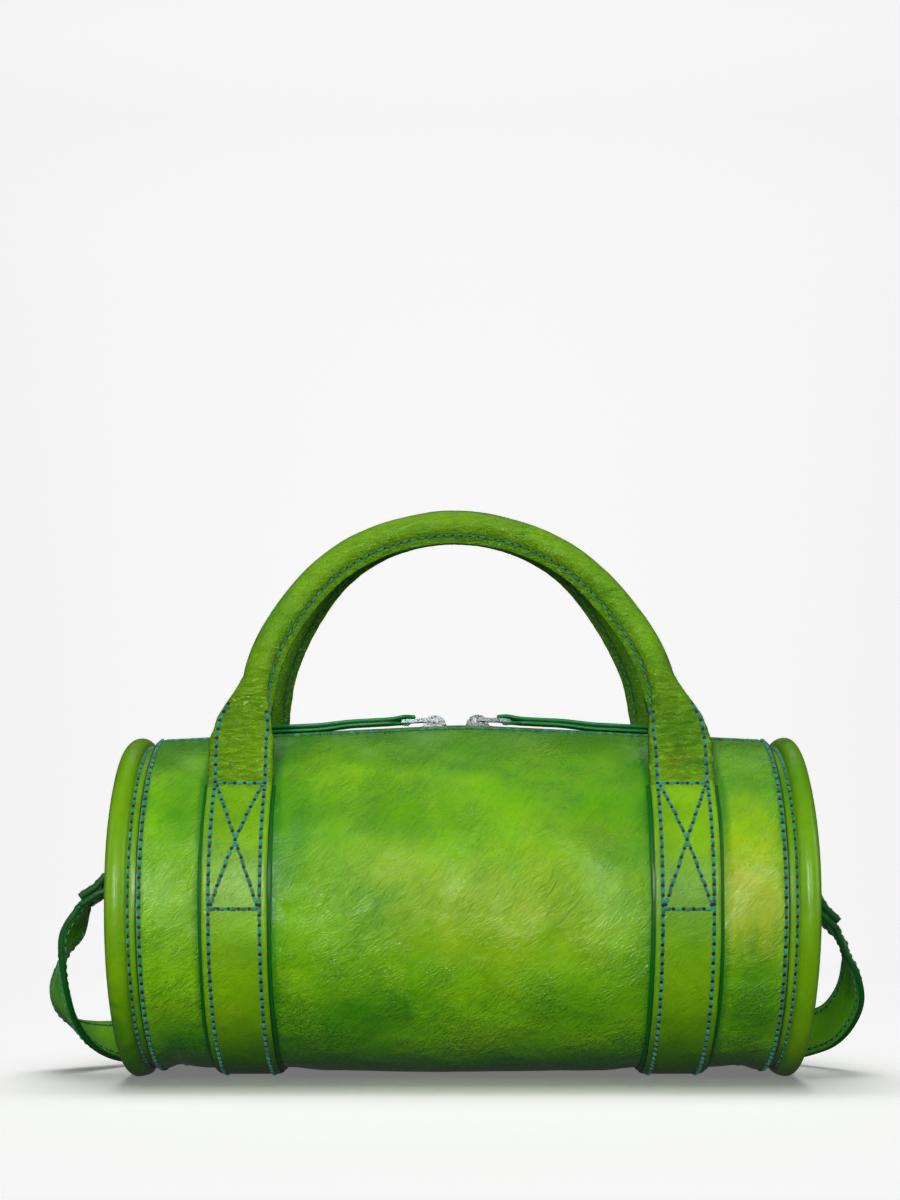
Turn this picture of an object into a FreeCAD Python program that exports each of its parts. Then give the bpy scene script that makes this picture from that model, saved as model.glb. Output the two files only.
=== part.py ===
# Small leather barrel handbag: a horizontal cylinder with piped end rims, a
# two-slider zip along the top, two girth straps that turn into rolled handles,
# and a flat shoulder strap hung from a ring on each end panel.
# Units are millimetres. X runs along the barrel, -Y is the front, +Z is up.
# All heights below are worked out from the barrel's own axis, which lies
# AXIS_H above the surface the bag stands on.
import FreeCAD, Part
import math
import os

V = FreeCAD.Vector

# ---------------------------------------------------------------- dimensions
AXIS_H = 65.5            # barrel axis above the ground
SHIFT_X = 3.5            # moves the whole bag so that its box is centred
SHIFT_Y = -19.8

PANEL_R = 64.0           # outer radius of the barrel panel
PANEL_T = 1.3            # leather thickness of the panel
PANEL_HALF = 118.9       # half length of the panel, seam to seam
STRAP_PINCH_R = 63.0     # panel radius where the girth straps pull it in
LIP_Z0 = 71.45           # height of the zip lips at the middle of the bag
LIP_SLOPE = 0.05         # fall of the lips towards both ends
LIP_SPREAD = 20.0        # degrees over which a lip blends into the round panel
SLOT_HALF = 4.2          # half width of the gap between the lips

LINING_T = 0.7
TAPE_T = 0.6             # zip tape thickness
CHAIN_Z0 = 69.7          # mid plane of the zip at the middle of the bag
CHAIN_HALF = 113.0       # half length of the toothed chain
TOOTH_PITCH = 2.5
TEETH_GAP = 0.45         # half gap between the two rows

RIM_R = 62.5             # centre circle of the piping roll
ROLL_R = 4.0             # piping roll radius
ROLL_X = 125.0           # plane of the piping roll
PIPE_CORD_R = 2.6        # cord inside the piping
BAND_R = 62.1            # outer radius of the rim band under the panel edge
BAND_T = 1.2
END_T = 2.0              # end panel thickness

STRAP_X = 82.0           # girth strap centre line
STRAP_W = 24.2           # upper layer width
BACK_W = 26.6            # backing layer width
STRAP_TOP_DEG = 45.4     # top edge of the straps, degrees from the top
BACK_R = 63.2
BACK_T = 1.05
STRAP_R = 64.3
STRAP_T = 1.15

HINGE_R = 65.9           # fold line where a handle leaves the bag
HINGE_DEG = 44.6
LEAN_DEG = 20.6          # lean of a handle's plane from upright
ARCH_R = 77.0            # centre line radius of the rolled handle
ARCH_V = 32.5            # height of the arch centre in the handle's plane
ARCH_START = 7.25        # degrees above level where the arc turns into a leg
GRIP_R = 5.8             # rolled handle radius
GRIP_CORE_R = 3.9        # cord inside the handle
CROWN_R = 4.6            # arched crown over a slider
CROWN_MID = 8.3          # its middle, from the sliders' meeting line
CROWN_TOP = 6.3          # its height off the zip's plane
LEG_LAP = 1.5            # how far a leg runs into the rolled arch
TAB_T = 2.4

SLIDER_MID = -2.5        # the two sliders meet just left of the middle
SLIDER_GAP = 3.7         # from the meeting point to each slider's nose
SLIDER_L = 10.4
SLIDER_HALF_W = 3.7
PULL_PIVOT = 8.6         # pivot of a pull, from the meeting point
PULL_N = 4.45            # pivot height over the chain's mid plane
PULLER_END = 76.0
PULLER_HALF_W = 5.0

RING_Z = {"left": 15.0, "right": 9.0}
RING_DROOP = {"left": 33.0, "right": 44.0}
RING_X = 130.2
RING_DEPTH = 10.0
RING_HALF_W = 11.0
WIRE_R = 1.1
SHOULDER_W = 18.0
SHOULDER_T = 2.6
FOLD_L = 12.0

OUT = "parts"
os.makedirs(OUT, exist_ok=True)
made = {}
boxes = []


def keep(name, shape):
    """Move a finished solid into the part's frame, check it and write it."""
    s = shape.copy()
    s.translate(V(SHIFT_X, SHIFT_Y, AXIS_H))
    solids = s.Solids
    if len(solids) == 1:
        s = solids[0]
    pts = s.tessellate(0.2)[0]
    b = FreeCAD.BoundBox()
    for q in pts:
        b.add(q)
    boxes.append(b)
    print("%-26s solids %d valid %s vol %9.1f  x %.1f %.1f y %.1f %.1f z %.1f %.1f" % (
        name, len(solids), s.isValid(), s.Volume, b.XMin, b.XMax, b.YMin, b.YMax, b.ZMin, b.ZMax))
    s.exportStep(os.path.join(OUT, name + ".step"))
    made[name] = s


def mirror_x(shape):
    return shape.mirror(V(0, 0, 0), V(1, 0, 0))


def mirror_y(shape):
    return shape.mirror(V(0, 0, 0), V(0, 1, 0))


def polar(r, deg, x):
    """A point on the barrel: deg is counted from the top, positive to the front."""
    a = math.radians(deg)
    return V(x, -r * math.sin(a), r * math.cos(a))


# ---------------------------------------------------------------- the barrel
def base_radius(x):
    """The panel is drawn in by the girth straps."""
    d = abs(abs(x) - STRAP_X)
    if d <= 14.0:
        return STRAP_PINCH_R
    u = min(1.0, (d - 14.0) / 14.0)
    return STRAP_PINCH_R + (PANEL_R - STRAP_PINCH_R) * u * u * (3 - 2 * u)


def roof(x):
    return math.sqrt(x * x + 36.0) - 6.0


def panel_radius(x, deg):
    """Outer radius of the panel: round, rising to a lip beside the zip."""
    base = base_radius(x)
    a0 = math.degrees(math.asin(SLOT_HALF / 69.0))
    lip = (LIP_Z0 - LIP_SLOPE * roof(x)) / math.cos(math.radians(a0))
    g = math.exp(-((max(0.0, abs(deg) - a0) / LIP_SPREAD) ** 2))
    return base + (lip - base) * g


def c_section(x, r_out, r_in, deg0):
    """A closed C-shaped wire in the plane at x, open at the top."""
    angles = [deg0 + (360.0 - 2 * deg0) * i / 32.0 for i in range(33)]
    sign = [a if a <= 180 else 360 - a for a in angles]
    outer = [polar(r_out(x, s), a, x) for a, s in zip(angles, sign)]
    inner = [polar(r_in(x, s), a, x) for a, s in zip(angles, sign)]
    o = Part.BSplineCurve()
    o.interpolate(outer)
    i = Part.BSplineCurve()
    i.interpolate(list(reversed(inner)))
    return Part.Wire([
        o.toShape(), Part.makeLine(outer[-1], inner[-1]),
        i.toShape(), Part.makeLine(inner[0], outer[0])])


STATIONS = [0, 24, 44, 56, 68, 82, 96, 108, PANEL_HALF]
STATIONS = [-s for s in reversed(STATIONS[1:])] + STATIONS
SLOT_DEG = math.degrees(math.asin(SLOT_HALF / 69.0))

panel = Part.makeLoft(
    [c_section(x, panel_radius, lambda x, d: panel_radius(x, d) - PANEL_T, SLOT_DEG)
     for x in STATIONS], True, False)
keep("body_panel", panel)

LINING_DEG = 13.2
lining_stations = [s for s in STATIONS if abs(s) < 115] 
lining = Part.makeLoft(
    [c_section(x, lambda x, d: panel_radius(x, d) - PANEL_T - 0.35,
               lambda x, d: panel_radius(x, d) - PANEL_T - 0.35 - LINING_T, LINING_DEG)
     for x in lining_stations], True, False)
keep("body_lining", lining)

# ---------------------------------------------------------------- the rims
floor_cut = Part.makeBox(400, 400, 50, V(-200, -200, -AXIS_H - 50))
roll = Part.makeTorus(RIM_R, ROLL_R, V(ROLL_X, 0, 0), V(1, 0, 0))
roll_hole = Part.makeTorus(RIM_R, PIPE_CORD_R + 0.15, V(ROLL_X, 0, 0), V(1, 0, 0))
band_x0 = 113.6
band = Part.makeCylinder(BAND_R, ROLL_X - 2.4 - band_x0, V(band_x0, 0, 0), V(1, 0, 0)).cut(
    Part.makeCylinder(BAND_R - BAND_T, ROLL_X - 2.4 - band_x0, V(band_x0, 0, 0), V(1, 0, 0)))
band = band.cut(Part.makeBox(12, 30, 30, V(band_x0 - 1, -15, 50)).cut(
    Part.makeBox(12, 30, 30, V(band_x0 + 6.2, -15, 50))))
rim = roll.fuse(band).cut(roll_hole).cut(floor_cut).removeSplitter()
keep("right_rim_piping", rim)
keep("left_rim_piping", mirror_x(rim))
pipe_cord = Part.makeTorus(RIM_R, PIPE_CORD_R, V(ROLL_X, 0, 0), V(1, 0, 0))
keep("right_piping_cord", pipe_cord)
keep("left_piping_cord", mirror_x(pipe_cord))
end = Part.makeCylinder(61.0, END_T, V(ROLL_X, 0, 0), V(1, 0, 0)).cut(roll)
keep("right_end_panel", end)
keep("left_end_panel", mirror_x(end))

# ---------------------------------------------------------------- girth straps
def hoop(r, t, w, deg):
    """A band round the underside, open over the top, centred on STRAP_X."""
    x0 = STRAP_X - w / 2
    ring = Part.makeCylinder(r + t, w, V(x0, 0, 0), V(1, 0, 0)).cut(
        Part.makeCylinder(r, w, V(x0, 0, 0), V(1, 0, 0)))
    far = 120.0
    a = math.radians(deg)
    wedge = Part.makePolygon([
        V(x0 - 1, 0, 0), V(x0 - 1, -far * math.sin(a), far * math.cos(a)),
        V(x0 - 1, -far * math.sin(a), 200), V(x0 - 1, far * math.sin(a), 200),
        V(x0 - 1, far * math.sin(a), far * math.cos(a)), V(x0 - 1, 0, 0)])
    return ring.cut(Part.Face(wedge).extrude(V(w + 2, 0, 0)))


strap = hoop(STRAP_R, STRAP_T, STRAP_W, STRAP_TOP_DEG)
strap_back = hoop(BACK_R, BACK_T, BACK_W, STRAP_TOP_DEG)
keep("right_girth_strap", strap)
keep("left_girth_strap", mirror_x(strap))
keep("right_strap_backing", strap_back)
keep("left_strap_backing", mirror_x(strap_back))

# ---------------------------------------------------------------- handles
LEAN = math.radians(LEAN_DEG)
HINGE = polar(HINGE_R, HINGE_DEG, 0)
UP = V(0, math.sin(LEAN), math.cos(LEAN))       # up the handle's plane
INWARD = V(0, math.cos(LEAN), -math.sin(LEAN))  # its normal, towards the bag
PLANE_OFF = 1.3                                 # leather centre behind the fold line


def hp(x, v, n=0.0):
    """A point in the handle's plane: x across, v up it, n behind it."""
    return HINGE + V(x, 0, 0) + UP * v + INWARD * (PLANE_OFF + n)


def oval(x, v, w, t, slope, n=0.0):
    """Closed section across a handle leg, squarer when it is flatter."""
    c = hp(x, v, n)
    side = V(math.cos(slope), 0, 0) + UP * math.sin(slope)
    e = 2.0 + 3.0 * max(0.0, 1 - t / w) ** 1.5
    pts = []
    for k in range(24):
        a = 2 * math.pi * k / 24
        ca, sa = math.cos(a), math.sin(a)
        px = math.copysign(abs(ca) ** (2 / e), ca) * w / 2
        pn = math.copysign(abs(sa) ** (2 / e), sa) * t / 2
        pts.append(c + side * px + INWARD * pn)
    s = Part.BSplineCurve()
    s.interpolate(pts, True)
    return Part.Wire([s.toShape()])


phi = math.radians(ARCH_START)
leg_x = ARCH_R * math.cos(phi)
leg_v = ARCH_V + ARCH_R * math.sin(phi)
legs = [  # v, x, width, thickness
    (0.7, STRAP_X, 24.2, 2.4), (8.0, STRAP_X, 24.2, 2.5), (16.0, 81.8, 24.0, 2.8),
    (22.0, 81.2, 22.2, 3.6), (27.5, 80.2, 19.4, 5.2), (33.0, 78.9, 15.6, 7.8),
    (38.0, 77.6, 12.7, 10.4), (leg_v, leg_x, 2 * GRIP_R - 0.12, 2 * GRIP_R - 0.12)]
arch_c = hp(0, ARCH_V)
arch = Part.makeTorus(ARCH_R, GRIP_R, arch_c, INWARD)
# the arc is kept only between the planes that pass through the arch centre and the leg ends
sector_pts = [hp(0, ARCH_V, -30), hp(150 * math.cos(phi), ARCH_V + 150 * math.sin(phi), -30),
              hp(150, ARCH_V - 200, -30), hp(-150, ARCH_V - 200, -30),
              hp(-150 * math.cos(phi), ARCH_V + 150 * math.sin(phi), -30), hp(0, ARCH_V, -30)]
sector = Part.Face(Part.makePolygon(sector_pts)).extrude(INWARD * 60)
grip = arch.cut(sector)
flange_ring = Part.makeCylinder(ARCH_R - GRIP_R + 1.5, 1.8, hp(0, ARCH_V, -0.9), INWARD).cut(
    Part.makeCylinder(ARCH_R - GRIP_R - 1.7, 1.8, hp(0, ARCH_V, -0.9), INWARD))
flange = flange_ring.cut(sector)
core_ring = Part.makeTorus(ARCH_R, GRIP_CORE_R, arch_c, INWARD).cut(sector)
core_room = Part.makeTorus(ARCH_R, GRIP_CORE_R + 0.12, arch_c, INWARD).cut(sector)


def leg(side):
    secs = [oval(side * x, v, w, t, side * phi * min(1.0, (v - 16) / (leg_v - 16)) if v > 16 else 0.0)
            for v, x, w, t in legs]
    # the leg's top runs a little way into the arch so that the two are one skin
    secs.append(oval(side * (leg_x - LEG_LAP * math.sin(phi)), leg_v + LEG_LAP * math.cos(phi),
                     legs[-1][2], legs[-1][3], side * phi))
    return Part.makeLoft(secs, True, False)


cover = grip.fuse([flange, leg(1), leg(-1)]).cut(core_room)
keep("front_handle_cover", cover)
keep("back_handle_cover", mirror_y(cover))
keep("front_handle_core", core_ring)
keep("back_handle_core", mirror_y(core_ring))

# ---------------------------------------------------------------- zip
def chain_z(x):
    return CHAIN_Z0 - LIP_SLOPE * roof(x)


def tape_section(x, side):
    """Flat by the teeth, then lying under the panel's lip."""
    z = chain_z(x)
    top, bot = [], []
    for y in (2.0, 3.2, 4.6):
        top.append((y, z + TAPE_T / 2))
        bot.append((y, z - TAPE_T / 2))
    for d in (6.6, 9.0, 11.6):
        r = panel_radius(x, d) - PANEL_T - 0.15
        a = math.radians(d)
        top.append((r * math.sin(a), r * math.cos(a)))
        bot.append(((r - TAPE_T) * math.sin(a), (r - TAPE_T) * math.cos(a)))
    pts = [V(x, -side * y, zz) for y, zz in top + bot[::-1]]
    return Part.makePolygon(pts + [pts[0]])


tape_x = [-117.0, -104, -90, -76, -60, -40, -20, -8, 0, 8, 20, 40, 60, 76, 90, 104, 117.0]
front_tape = Part.makeLoft([tape_section(x, 1) for x in tape_x], True, True)
keep("front_zip_tape", front_tape)
keep("back_zip_tape", mirror_y(front_tape))


def chain(side, first):
    """A sewn-on bead with a row of teeth reaching towards the middle."""
    bead = []
    xs = [-CHAIN_HALF, -60, -30, -12, 0, 12, 30, 60, CHAIN_HALF]
    for x in xs:
        z = chain_z(x)
        p = [V(x, -side * 1.35, z - 0.85), V(x, -side * 1.95, z - 0.85),
             V(x, -side * 1.95, z + 0.85), V(x, -side * 1.35, z + 0.85)]
        bead.append(Part.makePolygon(p + [p[0]]))
    body = Part.makeLoft(bead, True, True)
    teeth = []
    x = -CHAIN_HALF + 1.0 + first
    while x < CHAIN_HALF - 1.0:
        z = chain_z(x)
        y0, y1 = sorted((-side * TEETH_GAP, -side * 1.6))
        teeth.append(Part.makeBox(1.15, y1 - y0, 1.5, V(x - 0.575, y0, z - 0.75)))
        x += TOOTH_PITCH
    return body.fuse(teeth)


keep("front_zip_teeth", chain(1, 0.0))
keep("back_zip_teeth", chain(-1, TOOTH_PITCH / 2))
for side, name in ((1, "right"), (-1, "left")):
    x = side * (CHAIN_HALF + 1.4)
    z = chain_z(x)
    stop = Part.makeBox(1.8, 4.6, 2.6, V(x - 0.9, -2.3, z - 1.3))
    slots = [Part.makeBox(3.0, 2.0, TAPE_T + 0.2, V(x - 1.5, y, z - TAPE_T / 2 - 0.1)) for y in (1.6, -3.6)]
    keep(name + "_zip_stop", stop.cut(slots[0]).cut(slots[1]))

# sliders, in a frame of their own: s outward along the zip, n off its plane
BETA = math.atan(LIP_SLOPE)


def place(shape, side):
    """Set a piece built along +X at n = 0 onto the sloping half of the zip."""
    s = shape.copy()
    s.rotate(V(0, 0, 0), V(0, 1, 0), math.degrees(BETA))
    s.translate(V(0, 0, CHAIN_Z0 + LIP_SLOPE * 6.0 - 0.02))
    if side < 0:
        s = mirror_x(s)
    s.translate(V(SLIDER_MID, 0, 0))
    dz = -LIP_SLOPE * SLIDER_MID if side > 0 else LIP_SLOPE * SLIDER_MID
    s.translate(V(0, 0, dz))
    return s


def slider_body():
    s0, s1 = SLIDER_GAP, SLIDER_GAP + SLIDER_L
    w = SLIDER_HALF_W

    def plate(n0, n1, wn):
        p = [V(s0, -w * 0.82, n0), V(s0 + 1.2, -w, n0), V(s0 + 5.0, -w, n0), V(s1 - 1.5, -wn, n0),
             V(s1, -wn * 0.8, n0), V(s1, wn * 0.8, n0), V(s1 - 1.5, wn, n0), V(s0 + 5.0, w, n0),
             V(s0 + 1.2, w, n0), V(s0, w * 0.82, n0)]
        return Part.Face(Part.makePolygon(p + [p[0]])).extrude(V(0, 0, n1 - n0))

    top, bottom = plate(1.15, 1.95, 3.0), plate(-1.95, -1.15, 3.0)
    post = Part.makeBox(2.6, 0.44, 2.5, V(s0 + 0.3, -0.22, -1.25))
    flanges = []
    for sy in (1, -1):
        for n0 in (0.55, -1.25):
            flanges.append(Part.makeBox(6.6, 0.5, 0.7, V(s0 + 1.4, 2.5 if sy > 0 else -3.0, n0)))
    dome = Part.makeSphere(9.0, V((s0 + s1) / 2, 0, -5.75)).common(plate(1.9, 4.0, 2.6).common(
        Part.makeBox(8.8, 5.4, 2.2, V(s0 + 0.8, -2.7, 1.8))))
    body = top.fuse([bottom, post, dome] + flanges)
    # bridge over the pull's eye
    outer = Part.makeCylinder(CROWN_R, 1.9, V(CROWN_MID, -0.95, CROWN_TOP - CROWN_R), V(0, 1, 0)).common(
        Part.makeBox(4 * CROWN_R, 1.9, 2 * CROWN_R, V(CROWN_MID - 2 * CROWN_R, -0.95, 1.7)))
    hole = Part.makeCylinder(1.55, 3, V(PULL_PIVOT, -1.5, PULL_N - 0.3), V(0, 1, 0)).fuse(
        Part.makeBox(3.1, 3, 0.6, V(PULL_PIVOT - 1.55, -1.5, PULL_N - 0.9)))
    return body.fuse(outer).cut(hole).removeSplitter()


slider = slider_body()
keep("right_slider", place(slider, 1))
keep("left_slider", place(slider, -1))

# pull: an eye through the bridge, a neck each side, and a flat bar with a slot
eye_pin = Part.makeCylinder(1.0, 4.8, V(PULL_PIVOT, -2.4, PULL_N), V(0, 1, 0))
arms = [Part.makeBox(5.6, 1.2, 1.5, V(PULL_PIVOT - 1.0, y, PULL_N - 0.75)) for y in (1.2, -2.4)]
bar = Part.makeBox(8.4, 5.6, 1.4, V(PULL_PIVOT + 4.2, -2.8, PULL_N - 0.7))
bar = bar.cut(Part.makeBox(2.2, 4.0, 3, V(PULL_PIVOT + 8.6, -2.0, PULL_N - 1.5)))
pull = eye_pin.fuse(arms + [bar]).removeSplitter()
keep("right_pull_bar", place(pull, 1))
keep("left_pull_bar", place(pull, -1))

# leather puller: one strip folded through the slot, two layers sewn together
f0 = PULL_PIVOT + 7.0
top_puller = Part.makeBox(PULLER_END - f0, 2 * PULLER_HALF_W, 1.25, V(f0, -PULLER_HALF_W, PULL_N + 0.85))
low_puller = Part.makeBox(PULLER_END - PULL_PIVOT - 13.0, 2 * PULLER_HALF_W, 2.0, V(PULL_PIVOT + 13.0, -PULLER_HALF_W, PULL_N - 1.05))
tongue = Part.makeBox(1.2, 3.4, 2.6, V(PULL_PIVOT + 9.1, -1.7, PULL_N - 1.6))
under = Part.makeBox(6.0, 3.4, 0.6, V(PULL_PIVOT + 9.1, -1.7, PULL_N - 1.6))
puller = top_puller.fuse([low_puller, tongue, under]).removeSplitter()
keep("right_zip_puller", place(puller, 1))
keep("left_zip_puller", place(puller, -1))

# ---------------------------------------------------------------- ring, tab, fold
def xz(side, s, n, y, name):
    """A point by the ring: s out along the drooping strap, n off its upper face."""
    a = math.radians(RING_DROOP[name])
    return V(side * (RING_X + s * math.cos(a) + n * math.sin(a)), y,
             RING_Z[name] - s * math.sin(a) + n * math.cos(a))


def slab(side, name, pts, w):
    """A profile in the strap's side view, widened along Y."""
    poly = [xz(side, s, n, -w / 2, name) for s, n in pts]
    return Part.Face(Part.makePolygon(poly + [poly[0]])).extrude(V(0, w, 0))


fold_end = {}
for side, name in ((1, "right"), (-1, "left")):
    z = RING_Z[name]
    # leather loop sewn to the end panel
    eye = Part.makeCylinder(2.9, 16.0, V(side * RING_X, -8, z), V(0, 1, 0))
    plate_x = ROLL_X + END_T + 0.1
    tab = Part.makeBox(1.5, 16.0, 24.0, V(plate_x, -8, z))
    if side < 0:
        tab = mirror_x(tab)
    tab = tab.fuse(eye).cut(Part.makeCylinder(WIRE_R + 0.3, 20.0, V(side * RING_X, -10, z), V(0, 1, 0)))
    tab = tab.cut(Part.makeBox(20, 40, 60, V(side * (plate_x) - (20 if side > 0 else 0), -20, z - 30)))
    keep(name + "_ring_tab", tab)
    rivet = Part.makeSphere(3.6, V(side * (plate_x + 1.5 - 2.2), 0, z + 15)).common(
        Part.makeBox(4, 8, 8, V(plate_x + 1.5 if side > 0 else -plate_x - 1.5 - 4, -4, z + 11)))
    keep(name + "_tab_rivet", rivet)
    # rectangular wire ring
    c = [xz(side, 0, 0, -RING_HALF_W, name), xz(side, 0, 0, RING_HALF_W, name),
         xz(side, RING_DEPTH, 0, RING_HALF_W, name), xz(side, RING_DEPTH, 0, -RING_HALF_W, name)]
    wire = [Part.makeSphere(WIRE_R, p) for p in c]
    for a, b in zip(c, c[1:] + c[:1]):
        wire.append(Part.makeCylinder(WIRE_R, a.distanceToPoint(b), a, b - a))
    keep(name + "_strap_ring", wire[0].fuse(wire[1:]).removeSplitter())
    # the strap's end goes round the far bar and is riveted back on itself
    r0 = WIRE_R + 0.25
    r1 = r0 + SHOULDER_T
    s_bar, s_end = RING_DEPTH, RING_DEPTH + FOLD_L
    centre = xz(side, s_bar, 0, -SHOULDER_W / 2, name)
    u = Part.makeCylinder(r1, SHOULDER_W, centre, V(0, 1, 0)).cut(
        Part.makeCylinder(r0, SHOULDER_W, centre, V(0, 1, 0)))
    u = u.cut(slab(side, name, [(s_bar, -9), (s_bar + 9, -9), (s_bar + 9, 9), (s_bar, 9)], SHOULDER_W + 2))
    short = slab(side, name, [(s_bar, r0), (s_bar + 5, 0.06), (s_end, 0.06), (s_end, SHOULDER_T + 0.06),
                              (s_bar + 5.2, SHOULDER_T + 0.06), (s_bar, r1)], SHOULDER_W)
    long_ = slab(side, name, [(s_bar, -r0), (s_bar + 5, -0.06), (s_end + 1.5, -0.06), (s_end + 1.5, -SHOULDER_T - 0.06),
                              (s_bar + 5.2, -SHOULDER_T - 0.06), (s_bar, -r1)], SHOULDER_W)
    shaft_a, shaft_b = xz(side, s_bar + 8.7, -3.4, 0, name), xz(side, s_bar + 8.7, 3.4, 0, name)
    shaft_hole = Part.makeCylinder(1.3, 12, xz(side, s_bar + 8.7, -6, 0, name), shaft_b - shaft_a)
    keep(name + "_strap_fold", u.fuse([short, long_]).removeSplitter().cut(shaft_hole))
    stud = Part.makeCylinder(1.2, 5.9, xz(side, s_bar + 8.7, -2.95, 0, name), shaft_b - shaft_a)
    caps = []
    for sg in (1, -1):
        m = xz(side, s_bar + 8.7, sg * (SHOULDER_T + 0.1), 0, name)
        caps.append(Part.makeCylinder(3.4, 0.7, m, (shaft_b - shaft_a) * sg))
    keep(name + "_strap_rivet", stud.fuse(caps))
    fold_end[name] = (side, s_end + 1.5)

# ---------------------------------------------------------------- shoulder strap
def band_section(c, w, tangent):
    """A flat strap's rectangular section about c, wide along w."""
    w = V(w); w.normalize()
    t = V(tangent); t.normalize()
    w = w - t * w.dot(t); w.normalize()
    n = t.cross(w); n.normalize()
    p = [c + w * (SHOULDER_W / 2) + n * (SHOULDER_T / 2), c - w * (SHOULDER_W / 2) + n * (SHOULDER_T / 2),
         c - w * (SHOULDER_W / 2) - n * (SHOULDER_T / 2), c + w * (SHOULDER_W / 2) - n * (SHOULDER_T / 2)]
    return Part.makePolygon(p + [p[0]])


EDGE_Z = -AXIS_H + SHOULDER_W / 2 + 0.3
HANG = {
    "left": [((-154.0, 0.0, -10.5), (0.28, 0.96, 0.0)),
             ((-157.6, 1.0, -20.5), (-0.15, 0.98, 0.1)),
             ((-159.4, 3.0, -31.5), (-0.50, 0.85, 0.15)),
             ((-158.6, 7.5, -41.5), (-0.62, 0.74, 0.30)),
             ((-154.4, 15.0, -49.5), (-0.60, 0.62, 0.50)),
             ((-147.0, 24.5, -54.0), (-0.45, 0.50, 0.75)),
             ((-138.0, 36.5, -55.9), (-0.22, 0.25, 0.94)),
             ((-127.5, 50.0, EDGE_Z), (0, 0, 1))],
    "right": [((150.5, 0.0, -15.5), (0.22, 0.97, 0.05)),
              ((153.6, 1.5, -24.5), (-0.10, 0.98, 0.15)),
              ((154.6, 6.0, -33.5), (-0.32, 0.86, 0.40)),
              ((152.6, 12.5, -41.5), (-0.32, 0.68, 0.66)),
              ((148.6, 20.5, -48.0), (-0.22, 0.45, 0.86)),
              ((142.6, 29.5, -51.8), (-0.12, 0.22, 0.97)),
              ((135.8, 39.5, -54.8), (-0.03, 0.05, 1.0)),
              ((131.4, 46.2, -56.0), (0, 0, 1)),
              ((127.5, 52.0, EDGE_Z), (0, 0, 1))],
}
ends = {}
lengths = {}
for name in ("left", "right"):
    side, s = fold_end[name]
    a = math.radians(RING_DROOP[name])
    first = xz(side, s, -SHOULDER_T / 2 - 0.06, 0, name)
    pts = [(first, V(0, 1, 0))] + [(V(*p), V(*w)) for p, w in HANG[name]]
    tans = []
    for i in range(len(pts)):
        if i == 0:
            tans.append(V(side * math.cos(a), 0, -math.sin(a)))
        elif i == len(pts) - 1:
            t = pts[i][0] - pts[i - 1][0]
            tans.append(V(t.x, t.y, 0))
        else:
            tans.append(pts[i + 1][0] - pts[i - 1][0])
    secs = [band_section(p, w, t) for (p, w), t in zip(pts, tans)]
    run = Part.makeLoft(secs, True, False)
    keep(name + "_strap_hang", run)
    lengths[name] = sum(pts[i][0].distanceToPoint(pts[i + 1][0]) for i in range(len(pts) - 1))
    t = V(tans[-1]); t.normalize()
    ends[name] = (pts[-1][0], t)

# The rest stands on its edge behind the bag, laid to and fro.
# Its plan is straight runs joined by tangent arcs.
def fillet_path(route, share):
    """Straight runs through the route with a tangent arc at each inner point."""
    edges, at, used = [], route[0], []
    for i in range(1, len(route) - 1):
        p = route[i]
        la, lb = (route[i - 1] - p).Length, (route[i + 1] - p).Length
        a = (route[i - 1] - p) * (1 / la)
        b = (route[i + 1] - p) * (1 / lb)
        half = math.acos(max(-1.0, min(1.0, a.dot(b)))) / 2
        d = share * min(la, lb)
        r = d * math.tan(half)
        m_dir = a + b
        m_dir.normalize()
        t0, t1 = p + a * d, p + b * d
        m = p + m_dir * (r / math.sin(half) - r)
        edges.append(Part.makeLine(at, t0))
        edges.append(Part.Arc(t0, m, t1).toShape())
        used.append(round(r, 1))
        at = t1
    edges.append(Part.makeLine(at, route[-1]))
    print("bend radii", used)
    return Part.Wire(edges)


pl, tl = ends["left"]
pr, tr = ends["right"]
z0 = -AXIS_H + 0.3
REAR = [(-104, 61.5), (-64, 59.5), (-10, 61), (40, 59.5), (76, 61), (92, 63.5), (98, 72.5), (91, 81.5), (74, 83),
        (34, 81.5), (-14, 83), (-62, 81.5), (-92, 83), (-109, 86), (-115, 94.5), (-108, 103), (-88, 105),
        (-44, 103.5), (6, 105), (54, 103.5), (88, 104.5), (105, 102), (112.5, 91.5), (113.5, 77)]
lead_l, lead_r = pl + tl * 10.0, pr + tr * 10.0
route = [V(p.x, p.y, z0) for p in (pl, lead_l)] + [V(x, y, z0) for x, y in REAR] + [V(p.x, p.y, z0) for p in (lead_r, pr)]
path = fillet_path(route, 0.45)
lengths["rear"] = path.Length
outline_a = path.makeOffset2D(SHOULDER_T / 2, join=0, fill=False, openResult=True)
outline_b = path.makeOffset2D(-SHOULDER_T / 2, join=0, fill=False, openResult=True)


va, vb = outline_a.OrderedVertexes, outline_b.OrderedVertexes
pa0, pa1 = va[0].Point, va[-1].Point
pb0, pb1 = vb[0].Point, vb[-1].Point
if pa0.distanceToPoint(pb0) > pa0.distanceToPoint(pb1):
    pb0, pb1 = pb1, pb0
loop = Part.Wire(Part.__sortEdges__(outline_a.Edges + [Part.makeLine(pa1, pb1)] + outline_b.Edges + [Part.makeLine(pb0, pa0)]))
rear = Part.Face(loop).extrude(V(0, 0, SHOULDER_W))
keep("rear_strap_run", rear)
print("strap lengths", {k: round(v, 1) for k, v in lengths.items()}, "total", round(sum(lengths.values()) + 2 * (2 * FOLD_L + 1.5 + math.pi * 2.6), 1))

# ---------------------------------------------------------------- summary
whole = FreeCAD.BoundBox()
for b in boxes:
    whole.add(b)
print("box", whole, "centre", whole.Center)
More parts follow.
